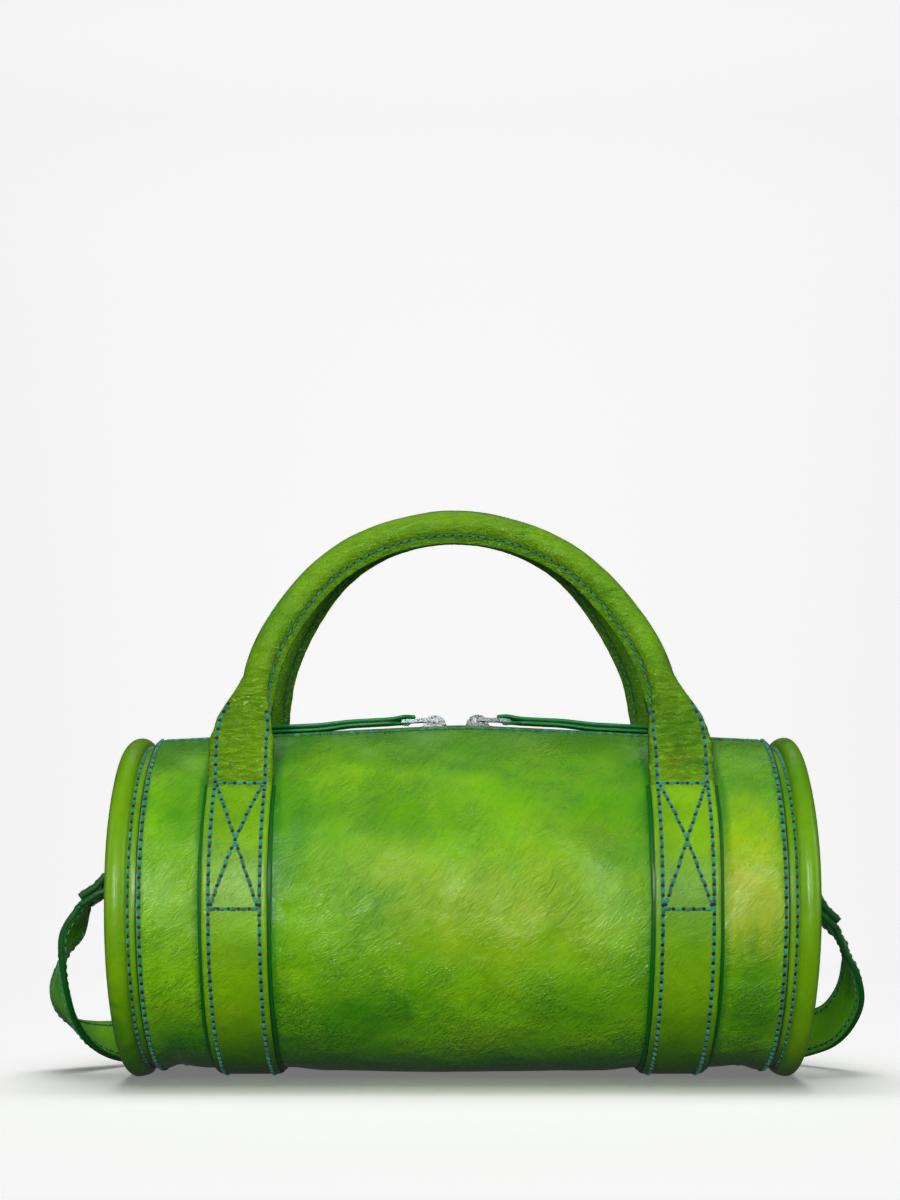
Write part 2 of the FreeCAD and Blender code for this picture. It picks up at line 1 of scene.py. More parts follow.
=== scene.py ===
import math
import bmesh
import bpy
import numpy as np
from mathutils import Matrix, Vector


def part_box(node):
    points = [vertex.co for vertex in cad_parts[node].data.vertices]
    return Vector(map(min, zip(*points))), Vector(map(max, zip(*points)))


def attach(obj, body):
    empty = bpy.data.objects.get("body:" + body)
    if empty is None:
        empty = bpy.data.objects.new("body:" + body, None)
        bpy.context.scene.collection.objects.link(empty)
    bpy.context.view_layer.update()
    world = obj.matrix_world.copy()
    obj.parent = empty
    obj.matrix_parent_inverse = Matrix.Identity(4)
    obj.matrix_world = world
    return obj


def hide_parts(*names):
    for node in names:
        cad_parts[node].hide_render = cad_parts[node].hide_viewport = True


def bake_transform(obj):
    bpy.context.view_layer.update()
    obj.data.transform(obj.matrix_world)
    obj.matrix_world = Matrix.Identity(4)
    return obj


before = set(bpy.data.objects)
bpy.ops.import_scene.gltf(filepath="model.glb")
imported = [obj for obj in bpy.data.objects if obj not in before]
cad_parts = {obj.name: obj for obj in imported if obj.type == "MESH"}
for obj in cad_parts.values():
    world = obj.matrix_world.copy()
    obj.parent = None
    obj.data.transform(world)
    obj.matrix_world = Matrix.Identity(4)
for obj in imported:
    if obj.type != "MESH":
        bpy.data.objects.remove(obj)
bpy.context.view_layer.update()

# ------------------------------------------------------------------ the bag's own frame
# All shapes are worked out in millimetres about the barrel's axis, then moved
# to the row frame, whose offsets come from the CAD nodes.
lo_l, hi_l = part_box("left_rim_piping")
lo_r, hi_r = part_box("right_rim_piping")
SX = (lo_l[0] + hi_r[0]) / 2 * 1000
SY = (lo_r[1] + hi_r[1]) / 2 * 1000
AZ = hi_r[2] * 1000 - 66.5

PANEL_R, PANEL_T, PANEL_HALF = 64.0, 1.3, 118.3
PINCH_R, STRAP_X, STRAP_W, BACK_W = 63.0, 82.0, 24.2, 26.6
LIP_Z0, LIP_SLOPE, LIP_SPREAD, SLOT_HALF = 71.45, 0.05, 20.0, 4.2
CHAIN_Z0 = 69.7
RIM_R, ROLL_R, ROLL_X, BAND_R = 62.5, 4.0, 125.0, 62.1
HINGE_R, HINGE_DEG, LEAN = 65.9, 44.6, math.radians(20.6)
ARCH_R, ARCH_V, PHI, GRIP_R = 77.0, 32.5, math.radians(7.25), 5.8
SLIDER_MID, PULL_PIVOT, PULL_N, PULLER_END, PULLER_W = -2.5, 8.6, 4.45, 76.0, 5.0
RING_Z = {"left": 15.0, "right": 9.0}
DROOP = {"left": math.radians(33.0), "right": math.radians(44.0)}
RING_X, RING_DEPTH, WIRE_R = 130.2, 10.0, 1.1
BELT_W, BELT_T, FOLD_L = 18.0, 2.6, 12.0
GROUND = -AZ


def smooth(a, b, v):
    t = np.clip((np.asarray(v, float) - a) / (b - a), 0, 1)
    return t * t * (3 - 2 * t)


def bump(v, c, w):
    return np.exp(-((np.asarray(v, float) - c) / w) ** 2)


# ------------------------------------------------------------------ seeded noise
def _hash(i, j, k, seed):
    h = (i * 374761393 + j * 668265263 + k * 2147483647 + seed * 1274126177) & 0xFFFFFFFF
    h = ((h ^ (h >> 13)) * 1274126177) & 0xFFFFFFFF
    h = ((h ^ (h >> 16)) * 2246822519) & 0xFFFFFFFF
    return ((h ^ (h >> 15)) & 0xFFFFFF).astype(float) / 0xFFFFFF * 2 - 1


def noise(p, scale, seed=0):
    """Smooth value noise, -1 to 1, at points p (..., 3) in mm."""
    q = np.asarray(p, float) / scale
    i = np.floor(q).astype(np.int64)
    f = q - i
    f = f * f * f * (f * (f * 6 - 15) + 10)
    out = 0
    for dx in (0, 1):
        wx = f[..., 0] if dx else 1 - f[..., 0]
        for dy in (0, 1):
            wy = f[..., 1] if dy else 1 - f[..., 1]
            for dz in (0, 1):
                wz = f[..., 2] if dz else 1 - f[..., 2]
                out = out + wx * wy * wz * _hash(i[..., 0] + dx, i[..., 1] + dy, i[..., 2] + dz, seed)
    return out


def fbm(p, scale, octaves=3, seed=0):
    out, amp = 0, 1.0
    for k in range(octaves):
        out = out + amp * noise(p, scale / 2 ** k, seed + 17 * k)
        amp *= 0.5
    return out


# ------------------------------------------------------------------ mesh helpers
def to_row(p):
    q = np.array(p, float)
    q[..., 0] += SX
    q[..., 1] += SY
    q[..., 2] = np.maximum(q[..., 2] + AZ, 0.02)
    return q / 1000


def mesh_from(name, verts, faces, attrs=None, smooth_shade=True):
    """verts (n, 3) in mm about the axis, faces a list of arrays of quads or tris."""
    me = bpy.data.meshes.new(name)
    v = to_row(verts)
    me.vertices.add(len(v))
    me.vertices.foreach_set("co", v.ravel())
    loops, starts, totals = [], [], []
    at = 0
    for f in faces:
        f = np.asarray(f, np.int64)
        if not len(f):
            continue
        k = f.shape[1]
        loops.append(f.ravel())
        starts.append(at + np.arange(len(f)) * k)
        totals.append(np.full(len(f), k))
        at += len(f) * k
    loops, starts, totals = (np.concatenate(a) for a in (loops, starts, totals))
    me.loops.add(len(loops))
    me.loops.foreach_set("vertex_index", loops)
    me.polygons.add(len(starts))
    me.polygons.foreach_set("loop_start", starts)
    me.polygons.foreach_set("loop_total", totals)
    me.update(calc_edges=True)
    me.validate()
    bm = bmesh.new()
    bm.from_mesh(me)
    bmesh.ops.recalc_face_normals(bm, faces=bm.faces)
    bm.to_mesh(me)
    bm.free()
    if smooth_shade:
        me.polygons.foreach_set("use_smooth", np.ones(len(me.polygons), bool))
    for key, val in (attrs or {}).items():
        a = me.attributes.new(key, "FLOAT", "POINT")
        a.data.foreach_set("value", np.asarray(val, float).ravel())
    o = bpy.data.objects.new(name, me)
    bpy.context.scene.collection.objects.link(o)
    return o


def grid_faces(n, m, close_n=False, close_m=False, off=0):
    i = np.arange(n if close_n else n - 1)
    j = np.arange(m if close_m else m - 1)
    i, j = np.meshgrid(i, j, indexing="ij")
    i2, j2 = (i + 1) % n, (j + 1) % m
    return (np.stack([i * m + j, i * m + j2, i2 * m + j2, i2 * m + j], -1).reshape(-1, 4)) + off


def tube(name, rows, attrs=None, caps=True):
    """A closed tube through rows (n, m, 3), with fan caps."""
    n, m = rows.shape[:2]
    verts = rows.reshape(-1, 3)
    faces = [grid_faces(n, m, close_m=True)]
    at = {k: np.asarray(v, float).reshape(-1) for k, v in (attrs or {}).items()}
    if caps:
        verts = np.concatenate([verts, rows[0].mean(0)[None], rows[-1].mean(0)[None]])
        j = np.arange(m)
        a = np.stack([(j + 1) % m, j, np.full(m, n * m)], -1)
        b = np.stack([(n - 1) * m + j, (n - 1) * m + (j + 1) % m, np.full(m, n * m + 1)], -1)
        faces += [a, b]
        at = {k: np.concatenate([v, [v[:m].mean()], [v[-m:].mean()]]) for k, v in at.items()}
    return mesh_from(name, verts, faces, at)


def unit(v):
    v = np.asarray(v, float)
    return v / np.maximum(np.linalg.norm(v, axis=-1, keepdims=True), 1e-12)


def arclen(p):
    return np.concatenate([[0], np.cumsum(np.linalg.norm(np.diff(p, axis=0), axis=1))])


def resample(p, step, *more):
    s = arclen(p)
    n = max(2, int(round(s[-1] / step)) + 1)
    t = np.linspace(0, s[-1], n)
    out = [np.stack([np.interp(t, s, a[:, k]) for k in range(a.shape[1])], -1) for a in (p, *more)]
    return out if more else out[0]


# ------------------------------------------------------------------ materials
def srgb(r, g, b):
    return tuple(((c / 255 + 0.055) / 1.055) ** 2.4 if c / 255 > 0.04045 else c / 255 / 12.92 for c in (r, g, b)) + (1,)


class Nodes:
    def __init__(self, name):
        self.m = bpy.data.materials.new(name)
        self.m.use_nodes = True
        self.t = self.m.node_tree
        self.t.nodes.clear()
        self.out = self.t.nodes.new("ShaderNodeOutputMaterial")
        self.bsdf = self.t.nodes.new("ShaderNodeBsdfPrincipled")
        self.t.links.new(self.bsdf.outputs[0], self.out.inputs[0])
        tc = self.t.nodes.new("ShaderNodeTexCoord")
        mp = self.t.nodes.new("ShaderNodeMapping")
        mp.inputs["Scale"].default_value = (1000, 1000, 1000)
        self.t.links.new(tc.outputs["Object"], mp.inputs[0])
        self.mm = mp.outputs[0]

    def new(self, kind, **props):
        n = self.t.nodes.new(kind)
        for k, v in props.items():
            setattr(n, k, v)
        return n

    def link(self, a, b):
        self.t.links.new(a, b)

    def noise(self, scale_mm, detail=3, rough=0.5, distort=0.0, stretch=None, dims="3D"):
        n = self.new("ShaderNodeTexNoise")
        n.inputs["Scale"].default_value = 1.0 / scale_mm
        n.inputs["Detail"].default_value = detail
        n.inputs["Roughness"].default_value = rough
        n.inputs["Distortion"].default_value = distort
        v = self.mm
        if stretch:
            mp = self.new("ShaderNodeMapping")
            mp.inputs["Scale"].default_value = stretch
            self.link(v, mp.inputs[0])
            v = mp.outputs[0]
        self.link(v, n.inputs["Vector"])
        return n.outputs["Fac"]

    def streaks(self, scale_mm, turn, stretch, detail=3, distort=1.0):
        """Noise drawn out along a slanting direction, like the fine creases of a soft hide."""
        a = self.new("ShaderNodeMapping", vector_type="POINT")
        a.inputs["Rotation"].default_value = turn
        self.link(self.mm, a.inputs[0])
        m = self.new("ShaderNodeMapping", vector_type="POINT")
        m.inputs["Scale"].default_value = stretch
        self.link(a.outputs[0], m.inputs[0])
        n = self.new("ShaderNodeTexNoise")
        n.inputs["Scale"].default_value = 1.0 / scale_mm
        n.inputs["Detail"].default_value = detail
        n.inputs["Roughness"].default_value = 0.55
        n.inputs["Distortion"].default_value = distort
        self.link(m.outputs[0], n.inputs["Vector"])
        return n.outputs["Fac"]

    def voronoi(self, scale_mm, feature="DISTANCE_TO_EDGE", vec=None):
        n = self.new("ShaderNodeTexVoronoi", feature=feature)
        n.inputs["Scale"].default_value = 1.0 / scale_mm
        self.link(vec or self.mm, n.inputs["Vector"])
        return n.outputs["Distance"]

    def ramp(self, fac, stops, mode="LINEAR"):
        n = self.new("ShaderNodeValToRGB")
        n.color_ramp.interpolation = mode
        e = n.color_ramp.elements
        while len(e) < len(stops):
            e.new(0.5)
        for el, (pos, col) in zip(e, stops):
            el.position = pos
            el.color = col if len(col) == 4 else (*col, 1)
        self.link(fac, n.inputs[0])
        return n.outputs[0]

    def map(self, v, a, b, c=0.0, d=1.0, clamp=True):
        n = self.new("ShaderNodeMapRange", clamp=clamp)
        for k, x in zip(("From Min", "From Max", "To Min", "To Max"), (a, b, c, d)):
            n.inputs[k].default_value = x
        self.link(v, n.inputs["Value"])
        return n.outputs[0]

    def math(self, op, a, b=None, clamp=False):
        n = self.new("ShaderNodeMath", operation=op, use_clamp=clamp)
        for k, x in enumerate((a, b)):
            if x is None:
                continue
            if isinstance(x, (int, float)):
                n.inputs[k].default_value = x
            else:
                self.link(x, n.inputs[k])
        return n.outputs[0]

    def mix(self, fac, a, b, blend="MIX"):
        n = self.new("ShaderNodeMix", data_type="RGBA", blend_type=blend)
        for sock, x in ((n.inputs[0], fac), (n.inputs[6], a), (n.inputs[7], b)):
            if isinstance(x, (int, float)):
                sock.default_value = x
            elif isinstance(x, tuple):
                sock.default_value = x
            else:
                self.link(x, sock)
        return n.outputs[2]

    def attr(self, name):
        n = self.new("ShaderNodeAttribute", attribute_name=name)
        return n.outputs["Fac"]

    def bump(self, height, strength, distance_mm, prev=None):
        n = self.new("ShaderNodeBump")
        n.inputs["Strength"].default_value = strength
        n.inputs["Distance"].default_value = distance_mm / 1000
        self.link(height, n.inputs["Height"])
        if prev is not None:
            self.link(prev, n.inputs["Normal"])
        return n.outputs[0]

    def set(self, **vals):
        for k, v in vals.items():
            sock = self.bsdf.inputs[k.replace("_", " ")]
            if hasattr(v, "is_linked") or hasattr(v, "links"):
                self.link(v, sock)
            else:
                sock.default_value = v
        return self.m


def leather(name, bright, mid, deep, edge=srgb(12, 62, 18), rough=(0.30, 0.46), grain=0.9, crease=0.55,
            coat=0.35, coat_rough=0.22, big=60.0, warm=0.5, wrinkle=1.0):
    """Hand-patinated leather: cloudy dye, darker in creases and at edges, painted shade in the valleys of the fine
    folds, fine pores, broken gloss.
    """
    n = Nodes(name)
    cloud = n.noise(big, 4, 0.55, 0.6)
    mottle = n.noise(13.0, 5, 0.62, 0.4)
    base = n.ramp(n.map(n.math("ADD", n.math("MULTIPLY", cloud, 0.65), n.math("MULTIPLY", mottle, 0.35)), 0.30, 0.70),
                  [(0.0, deep), (0.36, mid), (1.0, bright)])
    speck = n.noise(1.6, 3, 0.6)
    base = n.mix(n.map(speck, 0.52, 0.78, 0, 0.35), base, mid)
    yellow = n.map(n.noise(22.0, 3, 0.6, 0.8), 0.60, 0.80, 0, warm)
    base = n.mix(yellow, base, srgb(150, 178, 8))
    lines = n.streaks(6.5, (0.1, 0.5, 0.2), (0.6, 0.6, 1.0), 5, 0.9)
    crack = n.map(n.math("ABSOLUTE", n.math("SUBTRACT", lines, 0.5)), 0.0, 0.022, 1, 0)
    where = n.map(n.noise(30.0, 2, 0.5), 0.42, 0.62, 0.0, 1.0)
    crack = n.math("MULTIPLY", crack, where)
    base = n.mix(n.math("MULTIPLY", crack, 0.30), base, deep)
    base = n.mix(n.math("MULTIPLY", n.attr("gold"), n.map(mottle, 0.30, 0.60, 0.45, 0.95), True), base, srgb(158, 174, 0))
    # the dark attribute pulls the colour towards the deep green: patina patches and darker edges, and on the panel,
    # rims and handles also painted shade
    dark = n.attr("dark")
    base = n.mix(n.math("MULTIPLY", dark, n.map(mottle, 0.3, 0.6, 0.84, 1.0), True), base, deep)
    # painted shade: the valleys of the fine fold streaks, the same streaks as the fold bump, are darkened towards the
    # deep green
    valley_shade = n.map(n.streaks(1.9, (0.2, 0.95, 0.0), (0.26, 0.45, 1.0), 3, 1.5), 0.28, 0.50, 0.20 * min(wrinkle, 1.3), 0.0)
    base = n.mix(valley_shade, base, deep)
    edge_a = n.attr("edge")
    base = n.mix(n.map(edge_a, 0.35, 0.75), base, edge)
    pores = n.voronoi(0.85, "F1")
    cells = n.voronoi(1.15)
    h = n.math("ADD", n.math("MULTIPLY", n.map(cells, 0, 0.25), 0.5), n.math("MULTIPLY", pores, 0.35))
    b = n.bump(h, 0.35 * grain, 0.10)
    slant = n.streaks(0.95, (0.0, 0.55, 0.25), (0.24, 0.45, 1.0), 4, 1.2)
    cross = n.streaks(1.9, (0.2, 0.95, 0.0), (0.26, 0.45, 1.0), 3, 1.5)
    area_a = n.map(n.noise(19.0, 2, 0.5), 0.34, 0.62, 0.25, 1.0)
    folds = n.math("MULTIPLY", n.math("ADD", n.math("MULTIPLY", slant, 0.6), n.math("MULTIPLY", cross, 0.8)), area_a)
    b = n.bump(folds, 0.95 * wrinkle, 0.55, b)
    b = n.bump(n.math("SUBTRACT", 1.0, crack), crease * 0.7, 0.24, b)
    rumple = n.streaks(2.2, (0.0, 0.06, 0.0), (0.42, 0.8, 1.0), 4, 1.6)
    ridge = n.map(n.math("ABSOLUTE", n.math("SUBTRACT", rumple, 0.5)), 0.0, 0.16, 0, 1)
    crinkle = n.attr("crinkle")
    lift = n.math("MULTIPLY", ridge, crinkle)
    b = n.bump(lift, 1.0, 0.75, b)
    b = n.bump(n.noise(12.0, 3, 0.5, 0.5), 0.5, 1.3, b)
    r = n.map(n.math("ADD", n.math("MULTIPLY", n.noise(7.0, 4, 0.6), 0.6), n.math("MULTIPLY", speck, 0.4)), 0.35, 0.65, rough[0], rough[1])
    r = n.math("ADD", r, n.math("MULTIPLY", edge_a, 0.12))
    n.set(Base_Color=base, Roughness=r, Normal=b)
    n.bsdf.inputs["Coat Weight"].default_value = coat
    n.bsdf.inputs["Coat Roughness"].default_value = coat_rough
    n.bsdf.inputs["Specular IOR Level"].default_value = 0.30
    n.link(n.bump(h, 0.16 * grain, 0.06, n.bump(folds, 0.80 * wrinkle, 0.5, n.bump(lift, 0.8, 0.7))), n.bsdf.inputs["Coat Normal"])
    return n.m


LEAF = dict(bright=srgb(132, 188, 0), mid=srgb(94, 160, 0), deep=srgb(8, 110, 2))
M_panel = leather("panel_leather", **LEAF, coat=0.82, coat_rough=0.12, wrinkle=2.7)
M_rim = leather("rim_leather", srgb(112, 160, 0), srgb(92, 142, 0), srgb(26, 108, 4), big=80, crease=0.12, grain=0.6, wrinkle=0.35)
M_strap = leather("strap_leather", srgb(122, 170, 0), srgb(102, 152, 0), srgb(26, 106, 4), big=70, crease=0.20, grain=0.8, wrinkle=0.6)
M_handle = leather("handle_leather", srgb(120, 170, 0), srgb(96, 148, 0), srgb(24, 102, 2), big=50, crease=0.40, grain=1.1, wrinkle=0.9)
M_back = leather("backing_leather", srgb(22, 124, 24), srgb(10, 106, 20), srgb(2, 84, 16), edge=srgb(4, 88, 22), crease=0.1, grain=0.4, warm=0, wrinkle=0.2)
# painted light: the shoulder strap's leather is lighter than the other leathers, standing in for lamp light that its
# sideways faces barely get
M_belt = leather("shoulder_leather_painted_light", srgb(146, 212, 44), srgb(112, 188, 40), srgb(14, 112, 20), edge=srgb(2, 74, 18), big=40, crease=0.15, grain=0.6, warm=0.25, coat=0.5, wrinkle=0.4)
M_pull = leather("puller_leather", srgb(40, 168, 58), srgb(16, 146, 50), srgb(0, 104, 34), edge=srgb(4, 120, 44), big=30, crease=0.15, grain=0.5, warm=0.1, wrinkle=0.3)


def thread_material():
    n = Nodes("thread")
    base = n.mix(n.map(n.noise(3.0, 2), 0.4, 0.6), srgb(6, 98, 78), srgb(34, 138, 116))
    # painted shade: near-black at the needle holes, where the thread dips into the leather
    base = n.mix(n.map(n.attr("hole_shade"), 0.4, 0.6), base, srgb(4, 14, 8))
    w = n.new("ShaderNodeTexWave", wave_type="BANDS")
    w.inputs["Scale"].default_value = 0.9
    w.inputs["Distortion"].default_value = 1.5
    mp = n.new("ShaderNodeMapping")
    mp.inputs["Rotation"].default_value = (0.7, 0.7, 0.7)
    n.link(n.mm, mp.inputs[0])
    n.link(mp.outputs[0], w.inputs["Vector"])
    n.set(Base_Color=base, Roughness=0.48, Normal=n.bump(w.outputs["Fac"], 0.5, 0.12))
    n.bsdf.inputs["Sheen Weight"].default_value = 0.25
    return n.m


def metal_material(name, tint, rough):
    n = Nodes(name)
    base = n.mix(n.map(n.noise(2.0, 4, 0.6), 0.35, 0.65), tint, tuple(c * 0.86 for c in tint[:3]) + (1,))
    r = n.map(n.noise(1.2, 4, 0.65), 0.3, 0.7, rough * 0.75, rough * 1.35)
    n.set(Base_Color=base, Roughness=r, Normal=n.bump(n.noise(0.5, 3, 0.6, 0, (1, 6, 1)), 0.10, 0.05))
    n.bsdf.inputs["Metallic"].default_value = 1.0
    return n.m


def woven_material(name, a, b, pitch=0.45, rough=0.8):
    n = Nodes(name)
    waves = []
    for rot in ((0, 0, 0), (0, 0, math.pi / 2)):
        w = n.new("ShaderNodeTexWave", wave_type="BANDS")
        w.inputs["Scale"].default_value = 1 / pitch / 6.28
        w.inputs["Distortion"].default_value = 0.4
        mp = n.new("ShaderNodeMapping")
        mp.inputs["Rotation"].default_value = rot
        n.link(n.mm, mp.inputs[0])
        n.link(mp.outputs[0], w.inputs["Vector"])
        waves.append(w.outputs["Fac"])
    h = n.math("MULTIPLY", waves[0], waves[1])
    base = n.mix(h, a, b)
    base = n.mix(n.map(n.noise(6, 3), 0.4, 0.7, 0, 0.3), base, a)
    n.set(Base_Color=base, Roughness=rough, Normal=n.bump(h, 0.6, 0.2))
    n.bsdf.inputs["Sheen Weight"].default_value = 0.3
    return n.m


M_thread = thread_material()
M_zip_metal = metal_material("zip_nickel", srgb(150, 158, 160), 0.26)
M_ring_metal = metal_material("ring_nickel", (0.66, 0.66, 0.68, 1), 0.22)
M_tape = woven_material("zip_tape", srgb(8, 54, 36), srgb(28, 104, 74), 0.5)
M_lining = woven_material("lining_cloth", srgb(20, 34, 18), srgb(40, 62, 32), 0.6)
M_core = woven_material("filler_cord", srgb(150, 138, 112), srgb(200, 190, 160), 1.2)


def paint(o, m):
    o.data.materials.clear()
    o.data.materials.append(m)


# ------------------------------------------------------------------ the barrel's surface
def base_radius(x):
    d = np.abs(np.abs(x) - STRAP_X)
    return PINCH_R + (PANEL_R - PINCH_R) * smooth(14, 28, d)


def roof(x):
    return np.sqrt(np.asarray(x, float) ** 2 + 36.0) - 6.0


def polar(r, deg, x):
    """deg from the top, positive to the front."""
    a = np.radians(deg)
    return np.stack(np.broadcast_arrays(x, -r * np.sin(a), r * np.cos(a)), -1)


def body_r(x, deg):
    """Radius of the panel's outer face, with the slack and dents of soft leather."""
    x, deg = np.broadcast_arrays(np.asarray(x, float), np.asarray(deg, float))
    deg = (deg + 180.0) % 360.0 - 180.0
    base = base_radius(x)
    a0 = math.degrees(math.asin(SLOT_HALF / 69.0))
    lip = (LIP_Z0 - LIP_SLOPE * roof(x)) / math.cos(math.radians(a0))
    g = np.exp(-((np.maximum(0.0, np.abs(deg) - a0) / LIP_SPREAD) ** 2))
    r = base + (lip - base) * g
    p = polar(np.full_like(x, 64.0), deg, x)
    free = smooth(PANEL_HALF + 1, PANEL_HALF - 9, np.abs(x)) * smooth(4, 16, np.abs(deg))
    under = smooth(STRAP_X - 18, STRAP_X - 11, np.abs(x)) * smooth(STRAP_X + 18, STRAP_X + 11, np.abs(x))
    soft = free * (1 - 0.8 * under)
    r = r + soft * (0.42 * noise(p, 42, 3) + 0.22 * noise(p, 17, 5) + 0.07 * noise(p, 7.5, 8))
    # fuller between the girth straps
    r = r + 0.55 * smooth(62, 20, np.abs(x)) * smooth(20, 50, np.abs(deg))
    # drawn up under the ends, more on the left, with two soft folds
    low = bump(deg, 178, 42) + bump(deg, -178, 42)
    left = low * bump(x, -111.5, 7.5)
    right = low * bump(x, 108, 7.5)
    fold_l = np.sin((x + 118) / 3.1 + np.radians(deg - 150) * 5.0)
    r = r - free * (3.0 * left + 2.0 * right) - free * 0.45 * left * fold_l
    # small tension creases that run out from the straps' edges
    d = np.abs(x) - STRAP_X
    for s0 in (1, -1):
        near = bump(d, s0 * 17, 6) * smooth(30, 60, np.abs(deg))
        r = r + free * 0.10 * near * np.sin(np.radians(deg) * 34 + 3 * noise(p, 20, 11))
    return r


# panel: outer face, rounded lips at the zip, inner face
def build_panel():
    a0 = math.degrees(math.asin(SLOT_HALF / 69.0))
    nx, na = 316, 470
    u = np.linspace(-1, 1, nx)
    x = PANEL_HALF * u
    deg = np.linspace(a0, 360 - a0, na)
    X, D = np.meshgrid(x, deg, indexing="ij")
    R = body_r(X, D)
    edge_dip = 0.5 * bump(np.abs(X), PANEL_HALF - 1.4, 0.9) + 0.45 * smooth(PANEL_HALF - 0.6, PANEL_HALF, np.abs(X))
    dd = np.minimum(D, 360 - D)
    zip_dip = 0.35 * bump((dd - 10.2) * 1.21, 0.0, 0.8)
    R = R - edge_dip * 0.7 - zip_dip
    outer = polar(R, D, X)
    rows = [outer]
    # rounded nose from outer to inner, at both lips
    Ri = body_r(X[:, ::8], D[:, ::8]) - PANEL_T
    Di = D[:, ::8]
    inner = polar(Ri, Di, X[:, ::8])
    nose = []
    for k, sgn in ((-1, 1), (0, -1)):
        a, b = outer[:, k], inner[:, -1 if k == -1 else 0]
        mid = (a + b) / 2
        along = polar(np.ones(nx), D[:, k] + sgn * 90, x * 0)
        along[:, 0] = 0
        half = np.linalg.norm(a - b, axis=1)[:, None] / 2
        ring = []
        for t in (0.3, 0.6, 0.9, 1.2, 1.57, 1.94, 2.24, 2.54, 2.84):
            ring.append(mid + unit(a - b) * half * math.cos(t) - along * half * math.sin(t) * (1 if k == -1 else 1) * 0.9)
        nose.append(np.stack(ring, 1))
    section = np.concatenate([outer, nose[0], inner[:, ::-1], nose[1][:, ::-1]], 1)
    n, m = section.shape[:2]
    Xs = np.repeat(x[:, None], m, 1)
    ang = np.degrees(np.arctan2(-section[..., 1], section[..., 2]))
    ad = np.abs(ang)
    dsx = np.abs(np.abs(Xs) - STRAP_X)
    nz = noise(section, 16, 31)
    # darkening mask: darker beside the straps, in patches by them, near the panel's edges and in random patches, with
    # painted shade on the underside and across the top added below
    beside = smooth(3.6, 0.4, dsx - BACK_W / 2 + 0.8 * nz) * smooth(0, 20, ad)
    dark = 0.80 * beside
    inner = (np.abs(Xs) < STRAP_X)
    wide = smooth(30, 0, dsx - BACK_W / 2 + 12 * nz) * inner * smooth(84, 34, ad + 16 * nz)
    dark = np.maximum(dark, 0.62 * wide * (0.8 + 0.4 * noise(section, 17, 44)))
    dark = np.maximum(dark, 0.50 * smooth(10, 0, dsx - BACK_W / 2 + 3 * nz) * inner)
    # painted shade: the panel darkens towards the underside
    dark = np.maximum(dark, 0.95 * smooth(126, 160, ad + 9 * nz + 8 * noise(section, 40, 32)))
    # painted shade: the panel is darker across the top
    dark = np.maximum(dark, 0.75 * smooth(46, 14, ad + 7 * nz) * (0.75 + 0.35 * noise(section, 26, 38)))
    dark = np.maximum(dark, 0.45 * smooth(3.5, 0.4, PANEL_HALF - np.abs(Xs) + 1.2 * noise(section, 9, 33)))
    dark = np.maximum(dark, 0.40 * smooth(0.25, 0.9, fbm(section, 50, 2, 41)))
    front_side = (section[..., 1] < 0)
    zz = section[..., 2]

    def blot(cx, cz, rx, rz, seed):
        w = noise(section, 13, seed) * 0.35 + noise(section, 6, seed + 1) * 0.15
        return np.clip(1.25 * np.exp(-((Xs - cx) / rx) ** 2 - ((zz - cz) / rz) ** 2) + w * np.exp(-((Xs - cx) / rx / 1.6) ** 2 - ((zz - cz) / rz / 1.6) ** 2), 0, 1) * front_side

    for cx, cz, rx, rz, amount in ((-42, -44, 17, 13, 0.75), (-24, 36, 24, 13, 0.45), (8, -20, 13, 15, 0.25), (44, -38, 20, 10, 0.5),
                                   (52, 30, 14, 20, 0.35), (-103, 34, 9, 16, 0.40), (-104, -52, 14, 12, 0.7), (108, -40, 12, 16, 0.65),
                                   (104, 48, 10, 10, 0.4), (-20, 58, 40, 7, 0.35), (30, 52, 26, 8, 0.25)):
        dark = np.maximum(dark, amount * blot(cx, cz, rx, rz, int(200 + cx + cz)))
    gold = np.maximum(0.50 * blot(6, -3, 30, 20, 301), 1.0 * blot(104, 6, 13, 21, 303))
    gold = np.maximum(gold, 0.4 * blot(-26, 16, 14, 10, 305))
    gold = np.maximum(gold, 0.35 * blot(38, 8, 20, 26, 307))
    dark = dark * (1 - 0.6 * gold)
    edge = smooth(PANEL_HALF - 0.35, PANEL_HALF - 0.05, np.abs(Xs))
    o = mesh_from("body_panel_leather", section.reshape(-1, 3),
                  [grid_faces(n, m, close_m=True)], {"dark": dark, "edge": edge, "gold": gold})
    return o


panel = build_panel()
paint(panel, M_panel)
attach(panel, "bag")
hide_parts("body_panel")


def panel_edge(side):
    """The painted edge of the panel where it laps over the rim band."""
    deg = np.linspace(3.6, 356.4, 500)
    x0 = side * PANEL_HALF
    r = body_r(np.full_like(deg, x0 - side * 0.2), deg) - 0.35
    prof = [(-0.5, 0.02), (-0.12, 0.02), (0.14, -0.12), (0.26, -0.45), (0.24, -1.0), (0.1, -1.35), (-0.5, -1.4)]
    rows = np.stack([polar(r + dr, deg, np.full_like(deg, x0 + side * dx)) for dx, dr in prof], 1)
    o = tube(("left" if side < 0 else "right") + "_panel_edge", rows, {"dark": np.ones(rows.shape[:2]), "edge": np.ones(rows.shape[:2])})
    paint(o, M_panel)
    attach(o, "bag")


for sd in (-1, 1):
    panel_edge(sd)


